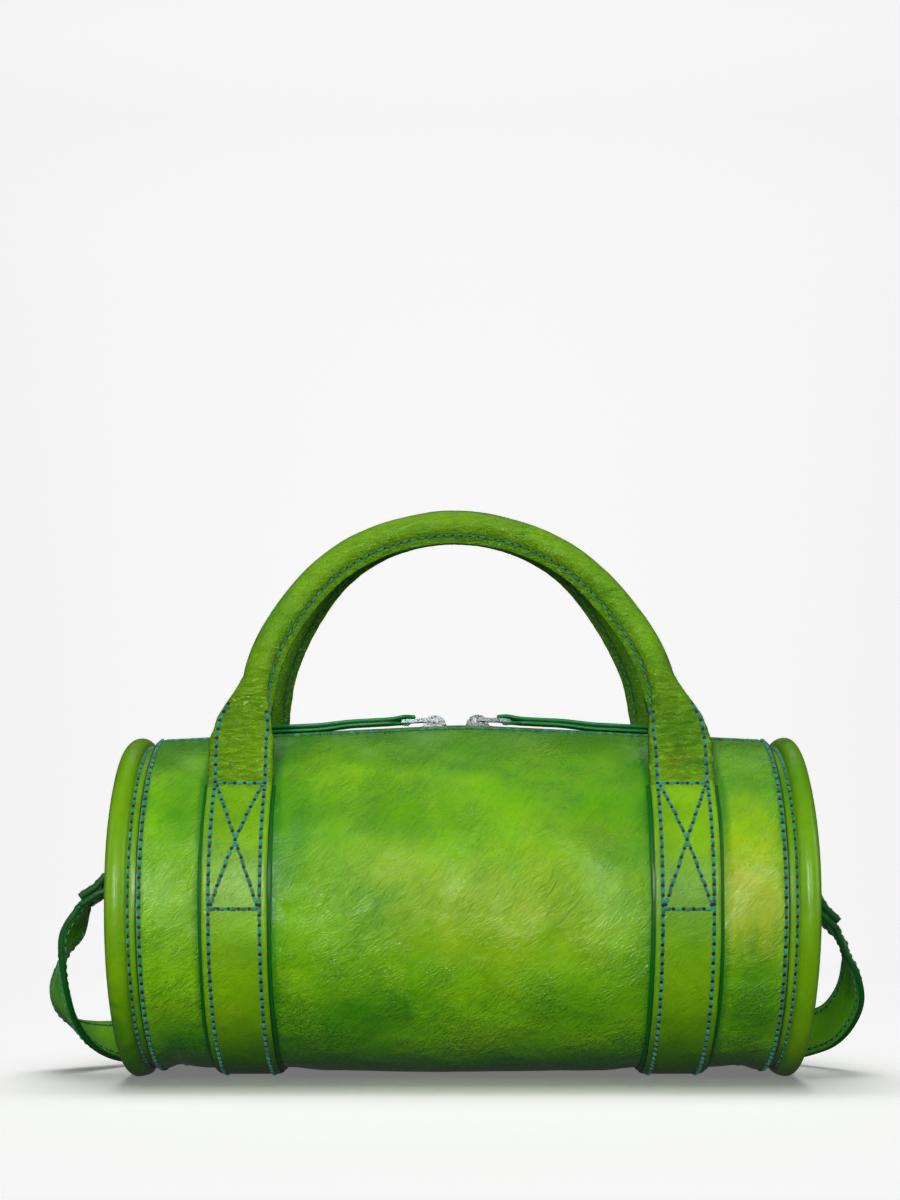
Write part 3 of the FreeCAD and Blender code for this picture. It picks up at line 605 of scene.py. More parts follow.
# ------------------------------------------------------------------ rims and end panels
def rim_profile(deg):
    """(x, r) of the band and the piping roll, from under the panel edge round to the end panel."""
    pts = []
    for x in (114.0, 116.0, 117.4, 118.6, 119.6, 120.6):
        pts.append((x, BAND_R + 0.40 * float(smooth(115, 117.4, x))))
    pts.append((121.2, BAND_R + 0.22))
    pts.append((121.6, BAND_R + 0.18))
    for t in np.linspace(172, -62, 26):
        a = math.radians(t)
        pts.append((ROLL_X + 0.6 + 4.15 * math.cos(a), RIM_R + 4.1 * math.sin(a)))
    pts = [p for p in pts[:8]] + [p for p in pts[8:] if (p[1] > BAND_R + 0.6 and p[0] > 121.75) or p[0] > ROLL_X]
    pts += [(ROLL_X + 1.2, 58.6), (ROLL_X - 1.0, 58.8), (ROLL_X - 2.4, 60.6), (ROLL_X - 4, 60.9), (114.0, 60.9)]
    return pts


def build_rim(side):
    name = "left" if side < 0 else "right"
    prof = np.array(rim_profile(0))
    deg = np.arange(0, 360, 0.75)
    D, K = np.meshgrid(deg, np.arange(len(prof)), indexing="ij")
    x = prof[K, 0]
    r = prof[K, 1]
    p0 = polar(np.full_like(r, 64.0), D, side * x)
    on_roll = smooth(121, 123, x)
    wob = 0.22 * noise(p0, 30, 51 + side) + 0.10 * noise(p0, 9, 52 + side)
    r = r + wob * on_roll
    x = x + on_roll * 0.35 * noise(polar(np.full_like(r, 64.0), D, 0 * x), 38, 55 + side)
    P = polar(r, D, side * x)
    dark = 0.30 * bump(x, 121.4, 0.5) + 0.7 * smooth(119.3, 118.4, x)
    ad = np.abs((D + 180) % 360 - 180)
    # painted shade: the band darkens towards the underside
    dark = np.maximum(dark, 0.75 * smooth(125, 172, ad))
    dark = np.maximum(dark, 0.6 * smooth(ROLL_X + 3.6, ROLL_X + 4.7, x + 0.4 * noise(P, 12, 58)))
    dark = np.maximum(dark, 0.35 * smooth(0.2, 0.9, fbm(P, 40, 2, 59)))
    o = mesh_from(name + "_rim_leather", P.reshape(-1, 3), [grid_faces(*P.shape[:2], close_n=True, close_m=True)],
                  {"dark": dark, "edge": np.zeros(dark.shape)})
    paint(o, M_rim)
    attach(o, "bag")
    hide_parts(name + "_rim_piping")
    # end panel: a disc that crowns a little, with a pressed seam near the piping
    rr = np.concatenate([[0.01], np.linspace(3, 56, 34), np.linspace(57, 60.4, 8)])
    dg = np.arange(0, 360, 2.0)
    Rr, Dg = np.meshgrid(rr, dg, indexing="ij")
    q = polar(Rr, Dg, 0 * Rr)
    dome = 2.0 * (1 - (Rr / 61) ** 2) + 0.5 * noise(q, 34, 61 + side) + 0.18 * noise(q, 12, 62)
    dome = dome * smooth(61, 50, Rr) - 0.5 * bump(Rr, 57.6, 1.0)
    keep = smooth(14, 26, np.abs(Rr))  # flat under the sewn tab
    X = ROLL_X + 2.0 + dome * 0.35 * keep - 1.6 * smooth(57, 61, Rr)
    P = polar(Rr, Dg, side * X)
    back = polar(Rr[::-1], Dg[::-1], side * (np.full_like(Rr, ROLL_X + 0.1)))
    P = np.concatenate([P, back], 0)
    dk = np.concatenate([0.25 + 0.5 * smooth(40, 60, Rr) + 0.3 * noise(q, 30, 66), 0.8 + 0 * Rr], 0)
    e = mesh_from(name + "_end_leather", P.reshape(-1, 3), [grid_faces(*P.shape[:2], close_m=True)],
                  {"dark": np.clip(dk, 0, 1), "edge": 0 * dk})
    paint(e, M_panel)
    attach(e, "bag")
    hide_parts(name + "_end_panel")


for sd in (-1, 1):
    build_rim(sd)


# ------------------------------------------------------------------ straps and handles
BOX_TOP, BOX_LOW = -1.0, -51.5     # along the strap from the fold, mm
EDGE_LINE = 9.25
LEGS = np.array([(-60.0, 82.0, 24.2, 1.2), (-8, 82.0, 24.2, 1.25), (0.7, 82.0, 24.3, 1.7), (8.0, 82.0, 24.4, 2.2),
                 (16.0, 81.9, 24.0, 2.7), (22.0, 81.3, 22.2, 3.6), (27.5, 80.2, 19.4, 5.2), (33.0, 78.9, 15.6, 7.8),
                 (38.0, 77.6, 12.9, 10.2), (ARCH_V + ARCH_R * math.sin(PHI), ARCH_R * math.cos(PHI), 11.6, 11.6)])
LEG_V = LEGS[-1, 0]


def pchip(x, y, q):
    """Monotone cubic through the table."""
    h = np.diff(x)
    d = np.diff(y) / h
    m = np.zeros(len(x))
    for i in range(1, len(x) - 1):
        if d[i - 1] * d[i] > 0:
            w1, w2 = 2 * h[i] + h[i - 1], h[i] + 2 * h[i - 1]
            m[i] = (w1 + w2) / (w1 / d[i - 1] + w2 / d[i])
    m[0], m[-1] = d[0], d[-1]
    i = np.clip(np.searchsorted(x, q) - 1, 0, len(h) - 1)
    t = (q - x[i]) / h[i]
    return ((2 * t ** 3 - 3 * t ** 2 + 1) * y[i] + (t ** 3 - 2 * t ** 2 + t) * h[i] * m[i]
            + (-2 * t ** 3 + 3 * t ** 2) * y[i + 1] + (t ** 3 - t ** 2) * h[i] * m[i + 1])


LOW_S = -math.radians(180 - HINGE_DEG) * 64.9 + 0.02   # distance from the fold down to the underside


def handle_path(step=0.75):
    """Stations of the front strap and handle, right underside to left underside.

    Columns: side sign, s along the body below the fold, centre x, v, half width,
    half thickness, and roll amount."""
    out = []
    vs = np.arange(LOW_S, LEG_V, step)
    x = pchip(LEGS[:, 0], LEGS[:, 1], np.maximum(vs, LEGS[0, 0]))
    w = pchip(LEGS[:, 0], LEGS[:, 2], np.maximum(vs, LEGS[0, 0]))
    t = pchip(LEGS[:, 0], LEGS[:, 3], np.maximum(vs, LEGS[0, 0]))
    right = np.stack([np.ones_like(vs), vs, x, vs, w / 2, t / 2, smooth(26, 40, vs)], -1)
    a = np.linspace(PHI, math.pi - PHI, int(ARCH_R * (math.pi - 2 * PHI) / step) + 1)
    arc = np.stack([np.cos(a), np.full_like(a, 999.0), ARCH_R * np.cos(a), ARCH_V + ARCH_R * np.sin(a),
                    np.full_like(a, GRIP_R), np.full_like(a, GRIP_R), np.ones_like(a)], -1)
    left = right[::-1].copy()
    left[:, 0] = -1
    left[:, 2] *= -1
    return np.concatenate([right, arc, left])


PATH = handle_path()
UPV = np.array([0, math.sin(LEAN), math.cos(LEAN)])
INV = np.array([0, math.cos(LEAN), -math.sin(LEAN)])
HINGE = polar(np.array(HINGE_R), HINGE_DEG, 0.0)


def skew(v):
    """The hand-rolled handle sits a little left of the middle at its top."""
    return -0.5 - 2.6 * smooth(0, 110, v)


def handle_frame():
    """Centre and outer side vector at each station of the handle's own plane."""
    c = HINGE + PATH[:, 2:3] * np.array([1.0, 0, 0]) + PATH[:, 3:4] * UPV + 1.25 * INV
    xv = PATH[:, 2:4]
    t = unit(np.gradient(xv, axis=0))
    side = t[:, 1:2] * np.array([1.0, 0, 0]) - t[:, 0:1] * UPV
    return c, side


H_C, H_SIDE = handle_frame()


def strap_point(i, px, pn, lift=0.0):
    """A point on the strap or handle: station i, px towards the outer side, pn outward."""
    i = np.asarray(i)
    c, side = H_C[i], H_SIDE[i]
    sgn = np.where(PATH[i, 0] > 0, 1.0, -1.0)
    v = PATH[i, 3]
    plane = c + side * px[..., None] - INV * (pn + lift)[..., None]
    s = PATH[i, 1]
    deg = HINGE_DEG - np.degrees(np.clip(s, -400, 60) / 64.9)
    x = sgn * STRAP_X + sgn * px
    on_body = polar(body_r(x, deg) * 0 + base_radius(sgn * STRAP_X) + (body_r(x, deg) - base_radius(x)) * 0.6
                    + 1.85 + pn + lift, deg, x)
    q = smooth(-7.0, 9.0, s)[..., None]
    p = on_body * (1 - q) + plane * q
    p[..., 0] += skew(v) - np.clip(PATH[i, 2] / 26.0, -1, 1) * 2.4 * bump(v, 76, 22)
    return p


def section_offsets(i, th):
    """Outline of the strap or handle at station i, for angles th round it."""
    w, t, roll = (PATH[i, k] for k in (4, 5, 6))
    e = 2.0 + 5.0 * np.clip(1 - t / w, 0, 1) ** 1.2
    c, s = np.cos(th), np.sin(th)
    px = np.sign(c) * np.abs(c) ** (2 / e) * w
    pn = np.sign(s) * np.abs(s) ** (2 / e) * t
    # flange on the inner side where the rolled leather's edges are sewn together
    d = np.abs((th - math.pi + math.pi) % (2 * math.pi) - math.pi)
    fin = roll * (2.0 * np.exp(-(d / 0.17) ** 2) - 0.45 * np.exp(-((d - 0.42) / 0.16) ** 2))
    px = px + np.cos(th) * fin
    pn = pn * (1 - 0.25 * roll * np.exp(-(d / 0.30) ** 2))
    # quilted a little between the two edge lines where it is flat
    flat = 1 - roll
    dip = -0.16 * np.exp(-((np.abs(px) - 9.3) / 0.7) ** 2) * (s > 0)
    edge_soft = -0.25 * smooth(w - 1.2, w, np.abs(px)) * (s > 0)
    pn = pn + flat * (dip + edge_soft)
    return px, pn


def to_back(p):
    """The matching place on the back handle, which stands a little taller."""
    q = np.array(p, float) * np.array([1, -1, 1])
    q[..., 2] += 3.0 * smooth(84, 142, q[..., 2])
    return q


def build_handle(name, mirror):
    m = 72
    u = (np.arange(m) + 0.5) / m * 2 * math.pi
    # more points near the edges and the flange
    th = u + 0.22 * np.sin(2 * u + math.pi)
    I, T = np.meshgrid(np.arange(len(PATH)), th, indexing="ij")
    px, pn = section_offsets(I, T)
    P = strap_point(I, px, pn)
    v = PATH[I, 3]
    roll = PATH[I, 6]
    outward = -INV
    # creases: across the flattened tab, and pressed into the inside of the bend
    q = P * np.array([0.45, 1.0, 1.0])
    tab = smooth(-6, 6, v) * smooth(52, 30, v)
    wr = (np.abs(noise(q, 4.0, 71)) - 0.35) * 0.42 + (np.abs(noise(q, 2.0, 72)) - 0.35) * 0.26
    wr = wr * (1 - 0.7 * bump(np.abs(px), EDGE_LINE, 1.1))
    inner = np.clip(-np.cos(T), 0, 1)
    ridge = np.abs(noise(P * np.array([1.5, 0.6, 0.6]), 3.0, 73)) - 0.35
    disp = tab * wr * 1.2 + roll * (0.10 * noise(P, 9, 74) + 0.16 * inner * ridge)
    strap = smooth(4, -6, v)
    disp = disp + strap * 0.10 * noise(P, 11, 75)
    nrm = unit(P - (strap_point(I, px * 0, pn * 0)))
    P = P + nrm * disp[..., None]
    # the join where the cover's ends meet near the top
    k_join = np.argmin(np.abs(PATH[:, 2] - 0.0) + (PATH[:, 6] < 0.9) * 999)
    groove = 0.12 * np.exp(-((I - k_join) * 0.75 / 0.45) ** 2) * (roll > 0.5)
    P = P - nrm * groove[..., None]
    c = np.abs(np.cos(T))
    w_half, t_half = PATH[I, 4], PATH[I, 5]
    flat_edge = smooth(0.55, 0.25, np.abs(pn) / np.maximum(t_half, 0.1)) * smooth(0.93, 0.985, np.abs(px) / w_half) * (1 - roll)
    d = np.abs((T - math.pi + math.pi) % (2 * math.pi) - math.pi)
    fin_edge = roll * 0.8 * np.exp(-(d / 0.08) ** 2)
    edge = np.clip(flat_edge + fin_edge, 0, 1)
    crinkle = smooth(-5, 3, v) * (0.35 + 0.65 * smooth(60, 26, v)) * (1 - 0.6 * bump(np.abs(px), EDGE_LINE, 1.2) * (v < 30))
    crinkle = np.maximum(crinkle, 0.75 * roll * np.clip(-np.cos(T) * 1.3, 0, 1))
    dark = roll * (0.35 * np.exp(-((d) / 0.30) ** 2) + 0.35 * np.clip(-np.sin(T) * 0 - (-np.cos(T - 0.0)) * 0, 0, 1))
    dark = np.maximum(dark, roll * 0.55 * smooth(0.75, 1.0, np.cos(T)))
    dark = np.maximum(dark, (1 - roll) * 0.55 * smooth(0.90, 1.0, np.abs(px) / w_half))
    s = PATH[I, 1]
    # painted shade: the strap darkens down towards the bag's underside
    dark = np.maximum(dark, 0.80 * smooth(-78, -125, s + 5 * noise(P, 10, 77)))
    dark = np.maximum(dark, 0.30 * smooth(0.1, 0.8, fbm(P, 24, 2, 79)))
    dark = np.maximum(dark, 0.25 * groove / 0.12)
    if mirror:
        # painted shade: the back handle, standing behind, is kept at least half dark all over
        dark = np.maximum(dark, 0.5)
        P = to_back(P)
        P = P[:, ::-1]
        dark, edge, crinkle = dark[:, ::-1], edge[:, ::-1], crinkle[:, ::-1]
    o = tube(name, P, {"dark": dark, "edge": edge, "crinkle": crinkle})
    paint(o, M_handle)
    return o


def build_core(name, back):
    i = np.flatnonzero(PATH[:, 1] > 900.0)
    th = np.arange(20) / 20 * 2 * math.pi
    I, T = np.meshgrid(i, th, indexing="ij")
    r = 3.75 + 0.10 * np.sin(3 * T + I * 0.9)
    P = strap_point(I, r * np.cos(T), r * np.sin(T))
    if back:
        P = to_back(P)[:, ::-1]
    o = tube(name, P)
    paint(o, M_core)
    side = "back" if back else "front"
    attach(o, side + "_handle")
    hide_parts(side + "_handle_core")


def blend_points(back):
    s = -1 if back else 1
    a = strap_point(np.array([np.argmin(np.abs(PATH[:, 1] + 5.0))]), np.array([0.0]), np.array([0.0]))[0]
    b = strap_point(np.array([np.argmin(np.abs(PATH[:, 1] - 9.0))]), np.array([0.0]), np.array([0.0]))[0]
    out = []
    for p in (a, b):
        out.append(tuple(to_row(np.array([0.0, s * p[1], p[2]]))))
    return out


def bend_with(o, back):
    a, b = blend_points(back)
    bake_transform(o)


front = build_handle("front_handle_leather", False)
back = build_handle("back_handle_leather", True)
build_core("front_handle_cord", False)
build_core("back_handle_cord", True)
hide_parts("front_handle_cover", "left_girth_strap", "right_girth_strap")
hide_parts("back_handle_cover")


def build_backing(side):
    name = "left" if side < 0 else "right"
    deg = np.linspace(44.2, 360 - 44.2, 420)
    prof = [(-1, 0.0), (-1.0, 0.45), (-0.985, 0.8), (-0.95, 1.0), (-0.6, 1.05), (0, 1.05), (0.6, 1.05), (0.95, 1.0), (0.985, 0.8), (1.0, 0.45), (1, 0.0), (0.5, 0.0), (0, 0.0), (-0.5, 0.0)]
    rows = []
    for a, h in prof:
        x = side * STRAP_X + a * (BACK_W / 2 + 0.15 * np.sin(deg / 9.0 + side)) - 0.5
        r = base_radius(side * STRAP_X) + (body_r(x, deg) - base_radius(x)) * 0.6 + 0.12 + h
        rows.append(polar(r, deg, x))
    P = np.stack(rows, 1)
    if side < 0:
        pass
    dk = np.ones(P.shape[:2]) * 0.8
    ed = np.ones(P.shape[:2]) * np.array([1, 1, 1, 0.9, 0, 0, 0, .9, 1, 1, 1, 0, 0, 0])[None]
    o = tube(name + "_strap_underlayer", P, {"dark": dk, "edge": ed})
    paint(o, M_back)
    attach(o, "bag")
    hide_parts(name + "_strap_backing")


for sd in (-1, 1):
    build_backing(sd)


# ------------------------------------------------------------------ stitching
def stitch_mesh(name, lines, pitch=3.6, radius=0.70, gap=0.85, lift=0.30):
    """Thread, with near-black discs of painted shade at the needle holes, along lines: each is (points, outward
    normals).
    """
    nu, nv = 9, 8
    uu = np.linspace(-1, 1, nu)
    vv = np.arange(nv) / nv * 2 * math.pi
    hole_ang = np.arange(8) / 8 * 2 * math.pi
    verts, faces, hole_shade = [], [], []
    at = 0
    for li, (pts, nrm) in enumerate(lines):
        s = arclen(pts)
        count = max(1, int(round(s[-1] / pitch)))
        step = s[-1] / count
        centres = (np.arange(count) + 0.5) * step
        half = (step - gap) / 2
        for k, c0 in enumerate(centres):
            jit = 0.10 * math.sin(k * 12.9898 + li * 4.1)
            h = half * (1 + 0.06 * math.sin(k * 7.3 + li))
            q = c0 + uu * h
            pc = np.stack([np.interp(q, s, pts[:, a]) for a in range(3)], -1)
            nn = unit(np.stack([np.interp(q, s, nrm[:, a]) for a in range(3)], -1))
            tt = unit(np.gradient(pc, axis=0))
            bb = unit(np.cross(nn, tt))
            rad = radius * (1 - np.abs(uu) ** 5) ** 0.5 * (0.95 + 0.05 * math.cos(k * 3.1))
            up = lift * (1 - uu ** 2) + 0.10 * radius - 0.55 * radius * np.abs(uu) ** 4
            ring = (pc[:, None] + nn[:, None] * (up[:, None, None] + 0.72 * (rad[:, None] * np.sin(vv)[None])[..., None])
                    + bb[:, None] * ((rad[:, None] * np.cos(vv)[None])[..., None] + (0.20 + jit) * uu[:, None, None]))
            verts.append(ring.reshape(-1, 3))
            faces.append(grid_faces(nu, nv, close_m=True, off=at))
            hole_shade.append(np.zeros(nu * nv))
            at += nu * nv
        # painted shade: a near-black disc lifted just over the surface at each needle hole
        for k in range(count + 1):
            q = min(max(k * step, 0), s[-1])
            p0 = np.array([np.interp(q, s, pts[:, a]) for a in range(3)])
            n0 = unit(np.array([np.interp(q, s, nrm[:, a]) for a in range(3)]))
            p1 = np.array([np.interp(min(q + 0.3, s[-1]), s, pts[:, a]) for a in range(3)])
            p2 = np.array([np.interp(max(q - 0.3, 0), s, pts[:, a]) for a in range(3)])
            t0 = unit(p1 - p2)
            b0 = np.cross(n0, t0)
            rx, ry = gap * 0.85, radius * 1.05
            disc = p0 + n0 * 0.20 + np.outer(np.cos(hole_ang) * rx, t0) + np.outer(np.sin(hole_ang) * ry, b0)
            verts.append(np.concatenate([disc, [p0 + n0 * 0.32]]))
            j = np.arange(8)
            faces.append(np.stack([j, (j + 1) % 8, np.full(8, 8)], -1) + at)
            hole_shade.append(np.ones(9))
            at += 9
    quads = [f for f in faces if f.shape[1] == 4]
    tris = [f for f in faces if f.shape[1] == 3]
    groups = ([np.concatenate(quads)] if quads else []) + ([np.concatenate(tris)] if tris else [])
    o = mesh_from(name, np.concatenate(verts), groups, {"hole_shade": np.concatenate(hole_shade)})
    paint(o, M_thread)
    return o


def with_normals(pts, outward):
    return pts, unit(outward)


def rim_line(side, x0, radius_fn, d0=0.0, d1=360.0):
    deg = np.linspace(d0, d1, 900)
    r = radius_fn(deg)
    p = polar(r, deg, np.full_like(deg, side * x0))
    n = polar(np.ones_like(deg), deg, 0 * deg)
    return with_normals(p, n)


bag_lines = []
for sd in (-1, 1):
    bag_lines.append(rim_line(sd, 121.45, lambda d: np.full_like(d, BAND_R + 0.35)))
    bag_lines.append(rim_line(sd, PANEL_HALF - 1.3, lambda d, s=sd: body_r(np.full_like(d, s * (PANEL_HALF - 1.3)), d) - 0.30, 6.0, 354.0))
# along both lips of the zip
xs = np.linspace(-116, 116, 700)
for sgn in (1, -1):
    a0 = 10.2
    dg = np.full_like(xs, sgn * a0)
    bag_lines.append(with_normals(polar(body_r(xs, dg) - 0.22, dg, xs), polar(np.ones_like(xs), dg, 0 * xs)))
st = stitch_mesh("rim_and_zip_stitching", bag_lines)
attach(st, "bag")


def strap_track(px_list, i_list, lift=0.02):
    """A line on the outer face of the front strap or handle."""
    i = np.asarray(i_list)
    px = np.asarray(px_list, float)
    w, t = PATH[i, 4], PATH[i, 5]
    ratio = np.clip(np.abs(px) / w, 0, 0.999)
    e = 2.0 + 5.0 * np.clip(1 - t / w, 0, 1) ** 1.2
    pn = t * (1 - ratio ** e) ** (1 / e) - 0.16 * (1 - PATH[i, 6])
    p = strap_point(i, px, pn, 0.0)
    q = strap_point(i, px, pn, 1.0)
    return p, unit(q - p)




def handle_lines():
    lines = []
    n = len(PATH)
    half = n // 2
    for leg in (0, 1):
        idx = np.arange(n)
        on = (idx < half) if leg == 0 else (idx >= half)
        vv = PATH[:, 3]
        ok = on & (vv < 30.0)
        i = idx[ok]
        for sg in (1, -1):
            w = PATH[i, 4]
            px = sg * np.minimum(EDGE_LINE, w - 1.6)
            lines.append(strap_track(px, i))
        # crossed box
        body = idx[on & (PATH[:, 1] < 60)]
        s = PATH[body, 1]
        order = np.argsort(s)
        body, s = body[order], s[order]

        def station(val):
            return body[np.clip(np.searchsorted(s, val), 0, len(body) - 1)]

        for val in (BOX_TOP, BOX_LOW):
            px = np.linspace(-EDGE_LINE, EDGE_LINE, 30)
            lines.append(strap_track(px, np.full(30, station(val))))
        k = np.linspace(0, 1, 60)
        for sg in (1, -1):
            px = sg * (EDGE_LINE - 0.9) * (2 * k - 1)
            ids = station(BOX_LOW + 1.2 + (BOX_TOP - BOX_LOW - 2.4) * k)
            lines.append(strap_track(px, ids))
    return lines


def flange_lines():
    """The line that closes the rolled cover, on its outer and its bag-facing side."""
    idx = np.arange(len(PATH))
    i = idx[PATH[:, 3] > 29.0]
    out = []
    for sg in (1, -1):
        th = math.pi - sg * 0.36
        px, pn = section_offsets(i, np.full(len(i), th))
        p = strap_point(i, px, pn)
        q = strap_point(i, px + np.cos(th), pn + np.sin(th))
        out.append((p, unit(q - p)))
    return out


def flip(lines):
    f = np.array([1, -1, 1])
    return [(to_back(p), n * f) for p, n in lines]


H_LINES, F_LINES = handle_lines(), flange_lines()
for nm, is_back in (("front", False), ("back", True)):
    a = stitch_mesh(nm + "_strap_stitching", flip(H_LINES) if is_back else H_LINES)
    b = stitch_mesh(nm + "_flange_stitching", flip(F_LINES) if is_back else F_LINES, pitch=3.4, radius=0.46, gap=0.6)
    for o in (a, b):
        bend_with(o, is_back)
bend_with(front, False)
bend_with(back, True)

# ------------------------------------------------------------------ shoulder strap
HANG = {
    "left": [((-154.0, 0.0, -10.5), (0.28, 0.96, 0.0)), ((-157.6, 1.0, -20.5), (-0.15, 0.98, 0.1)),
             ((-159.4, 3.0, -31.5), (-0.50, 0.85, 0.15)), ((-158.6, 7.5, -41.5), (-0.62, 0.74, 0.30)),
             ((-154.4, 15.0, -49.5), (-0.60, 0.62, 0.50)), ((-147.0, 24.5, -54.0), (-0.45, 0.50, 0.75)),
             ((-138.0, 36.5, -55.9), (-0.22, 0.25, 0.94)), ((-127.5, 50.0, -56.2), (0, 0, 1))],
    "right": [((150.5, 0.0, -15.5), (0.22, 0.97, 0.05)), ((153.6, 1.5, -24.5), (-0.10, 0.98, 0.15)),
              ((154.6, 6.0, -33.5), (-0.32, 0.86, 0.40)), ((152.6, 12.5, -41.5), (-0.32, 0.68, 0.66)),
              ((148.6, 20.5, -48.0), (-0.22, 0.45, 0.86)), ((142.6, 29.5, -51.8), (-0.12, 0.22, 0.97)),
              ((135.8, 39.5, -54.8), (-0.03, 0.05, 1.0)), ((131.4, 46.2, -56.0), (0, 0, 1)), ((127.5, 52.0, -56.2), (0, 0, 1))],
}
REAR = [(-104, 61.5), (-64, 59.5), (-10, 61), (40, 59.5), (76, 61), (92, 63.5), (98, 72.5), (91, 81.5), (74, 83),
        (34, 81.5), (-14, 83), (-62, 81.5), (-92, 83), (-109, 86), (-115, 94.5), (-108, 103), (-88, 105),
        (-44, 103.5), (6, 105), (54, 103.5), (88, 104.5), (105, 102), (112.5, 91.5), (113.5, 77)]


def ring_point(name, s, n):
    a = DROOP[name]
    sd = -1 if name == "left" else 1
    return np.array([sd * (RING_X + s * math.cos(a) + n * math.sin(a)), 0.0, RING_Z[name] - s * math.sin(a) + n * math.cos(a)])


def catmull(pts, per=24):
    pts = np.asarray(pts, float)
    p = np.concatenate([[2 * pts[0] - pts[1]], pts, [2 * pts[-1] - pts[-2]]])
    out = []
    t = np.linspace(0, 1, per, endpoint=False)[:, None]
    for i in range(1, len(p) - 2):
        a, b, c, d = p[i - 1], p[i], p[i + 1], p[i + 2]
        out.append(0.5 * (2 * b + (c - a) * t + (2 * a - 5 * b + 4 * c - d) * t ** 2 + (3 * b - a - 3 * c + d) * t ** 3))
    return np.concatenate(out + [pts[-1:]])


def quad_spline(pts, per=24):
    """Uniform quadratic B-spline with clamped ends."""
    pts = np.asarray(pts, float)
    mids = (pts[:-1] + pts[1:]) / 2
    out = [pts[:1]]
    t = np.linspace(0, 1, per, endpoint=False)[:, None]
    out.append(pts[0] + (mids[0] - pts[0]) * t)
    for i in range(1, len(pts) - 1):
        a, b, c = mids[i - 1], pts[i], mids[i]
        out.append((1 - t) ** 2 * a + 2 * t * (1 - t) * b + t ** 2 * c)
    out.append(mids[-1] + (pts[-1] - mids[-1]) * np.linspace(0, 1, per)[:, None])
    return np.concatenate(out)


def belt(name, line, wide, body=None, length_step=1.2, w=BELT_W, t=BELT_T, mat=None):
    """A flat sewn strap swept along line, its width along wide."""
    line, wide = resample(line, length_step, wide)
    tan = unit(np.gradient(line, axis=0))
    wide = unit(wide)
    wide = unit(wide - tan * (wide * tan).sum(1)[:, None])
    nrm = np.cross(tan, wide)
    hw, ht = w / 2, t / 2
    prof = []
    for px, pn in ((-hw, -ht * 0.45), (-hw + 0.02, ht * 0.0), (-hw, ht * 0.45), (-hw + 0.25, ht * 0.85), (-hw + 0.9, ht * 1.0),
                   (-hw + 1.7, ht * 1.02), (-hw + 2.4, ht * 0.86), (-hw + 3.1, ht * 1.0), (-hw * 0.4, ht * 1.05), (0, ht * 1.05), (hw * 0.4, ht * 1.05),
                   (hw - 3.1, ht * 1.0), (hw - 2.4, ht * 0.86), (hw - 1.7, ht * 1.02), (hw - 0.9, ht), (hw - 0.25, ht * 0.85)):
        prof.append((px, pn))
    prof = prof + [(-a, -b) for a, b in prof]
    prof = np.array(prof)
    edge = (np.abs(prof[:, 0]) > hw - 0.3).astype(float)
    core = (np.abs(prof[:, 1]) < 0.1) & (edge > 0)
    dark = 0.35 + 0.5 * smooth(hw - 2.0, hw, np.abs(prof[:, 0]))
    P = line[:, None] + wide[:, None] * prof[None, :, :1] + nrm[:, None] * prof[None, :, 1:]
    P = P + nrm[:, None] * (0.10 * noise(P, 9, 91))[..., None] * (1 - edge)[None, :, None]
    o = tube(name, P, {"dark": np.clip(np.repeat(dark[None], len(P), 0) + 0.2 * noise(P, 16, 93), 0, 1),
                       "edge": np.repeat((edge * (1 - 0.0 * core))[None], len(P), 0)})
    paint(o, mat or M_belt)
    lines = []
    for sx in (1, -1):
        for sn in (1, -1):
            lines.append((line + wide * sx * (hw - 2.4) + nrm * sn * ht * 0.90, nrm * sn))
    return o, lines


lengths = 0
ends = {}
for nm, sd in (("left", -1), ("right", 1)):
    a = DROOP[nm]
    first = ring_point(nm, RING_DEPTH + FOLD_L + 1.5, -BELT_T / 2 - 0.06)
    # a straight start in line with the riveted end
    pts = [first] + [np.array(p) for p, _ in HANG[nm]]
    wid = [np.array([0, 1.0, 0])] + [np.array(w_) for _, w_ in HANG[nm]]
    line, wide = catmull(pts), catmull(wid)
    o, lines = belt(nm + "_shoulder_strap", line, wide)
    s_o = stitch_mesh(nm + "_shoulder_stitching", lines, pitch=3.5, radius=0.46, gap=0.8)
    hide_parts(nm + "_strap_hang")
    far = to_row(np.array(pts[5]))
    near = to_row(np.array(first))
    for ob in (o, s_o):
        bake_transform(ob)
    ends[nm] = (np.array(pts[-1]), unit(np.array([*(pts[-1] - pts[-2])[:2], 0])))
    lengths += arclen(line)[-1]
    # riveted end: tip, back over the ring's bar, and out again underneath
    path = [ring_point(nm, RING_DEPTH + FOLD_L, BELT_T / 2 + 0.06), ring_point(nm, RING_DEPTH + 8, BELT_T / 2 + 0.06), ring_point(nm, RING_DEPTH + 5, BELT_T / 2 + 0.10)]
    for ang in np.linspace(90, 270, 13):
        rr_ = WIRE_R + 0.25 + BELT_T / 2
        path.append(ring_point(nm, RING_DEPTH + rr_ * math.cos(math.radians(ang)), rr_ * math.sin(math.radians(ang))))
    path += [ring_point(nm, RING_DEPTH + 5, -BELT_T / 2 - 0.10), ring_point(nm, RING_DEPTH + 8, -BELT_T / 2 - 0.06), ring_point(nm, RING_DEPTH + FOLD_L + 1.5, -BELT_T / 2 - 0.06)]
    line = catmull(path, 8)
    o, lines = belt(nm + "_riveted_end", line, np.repeat([[0, 1.0, 0]], len(line), 0), length_step=0.7)
    s_o = stitch_mesh(nm + "_riveted_end_stitching", lines, pitch=3.5, radius=0.46, gap=0.8)
    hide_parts(nm + "_strap_fold")
    for ob in (o, s_o):
        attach(ob, nm + "_ring")
    lengths += arclen(line)[-1]

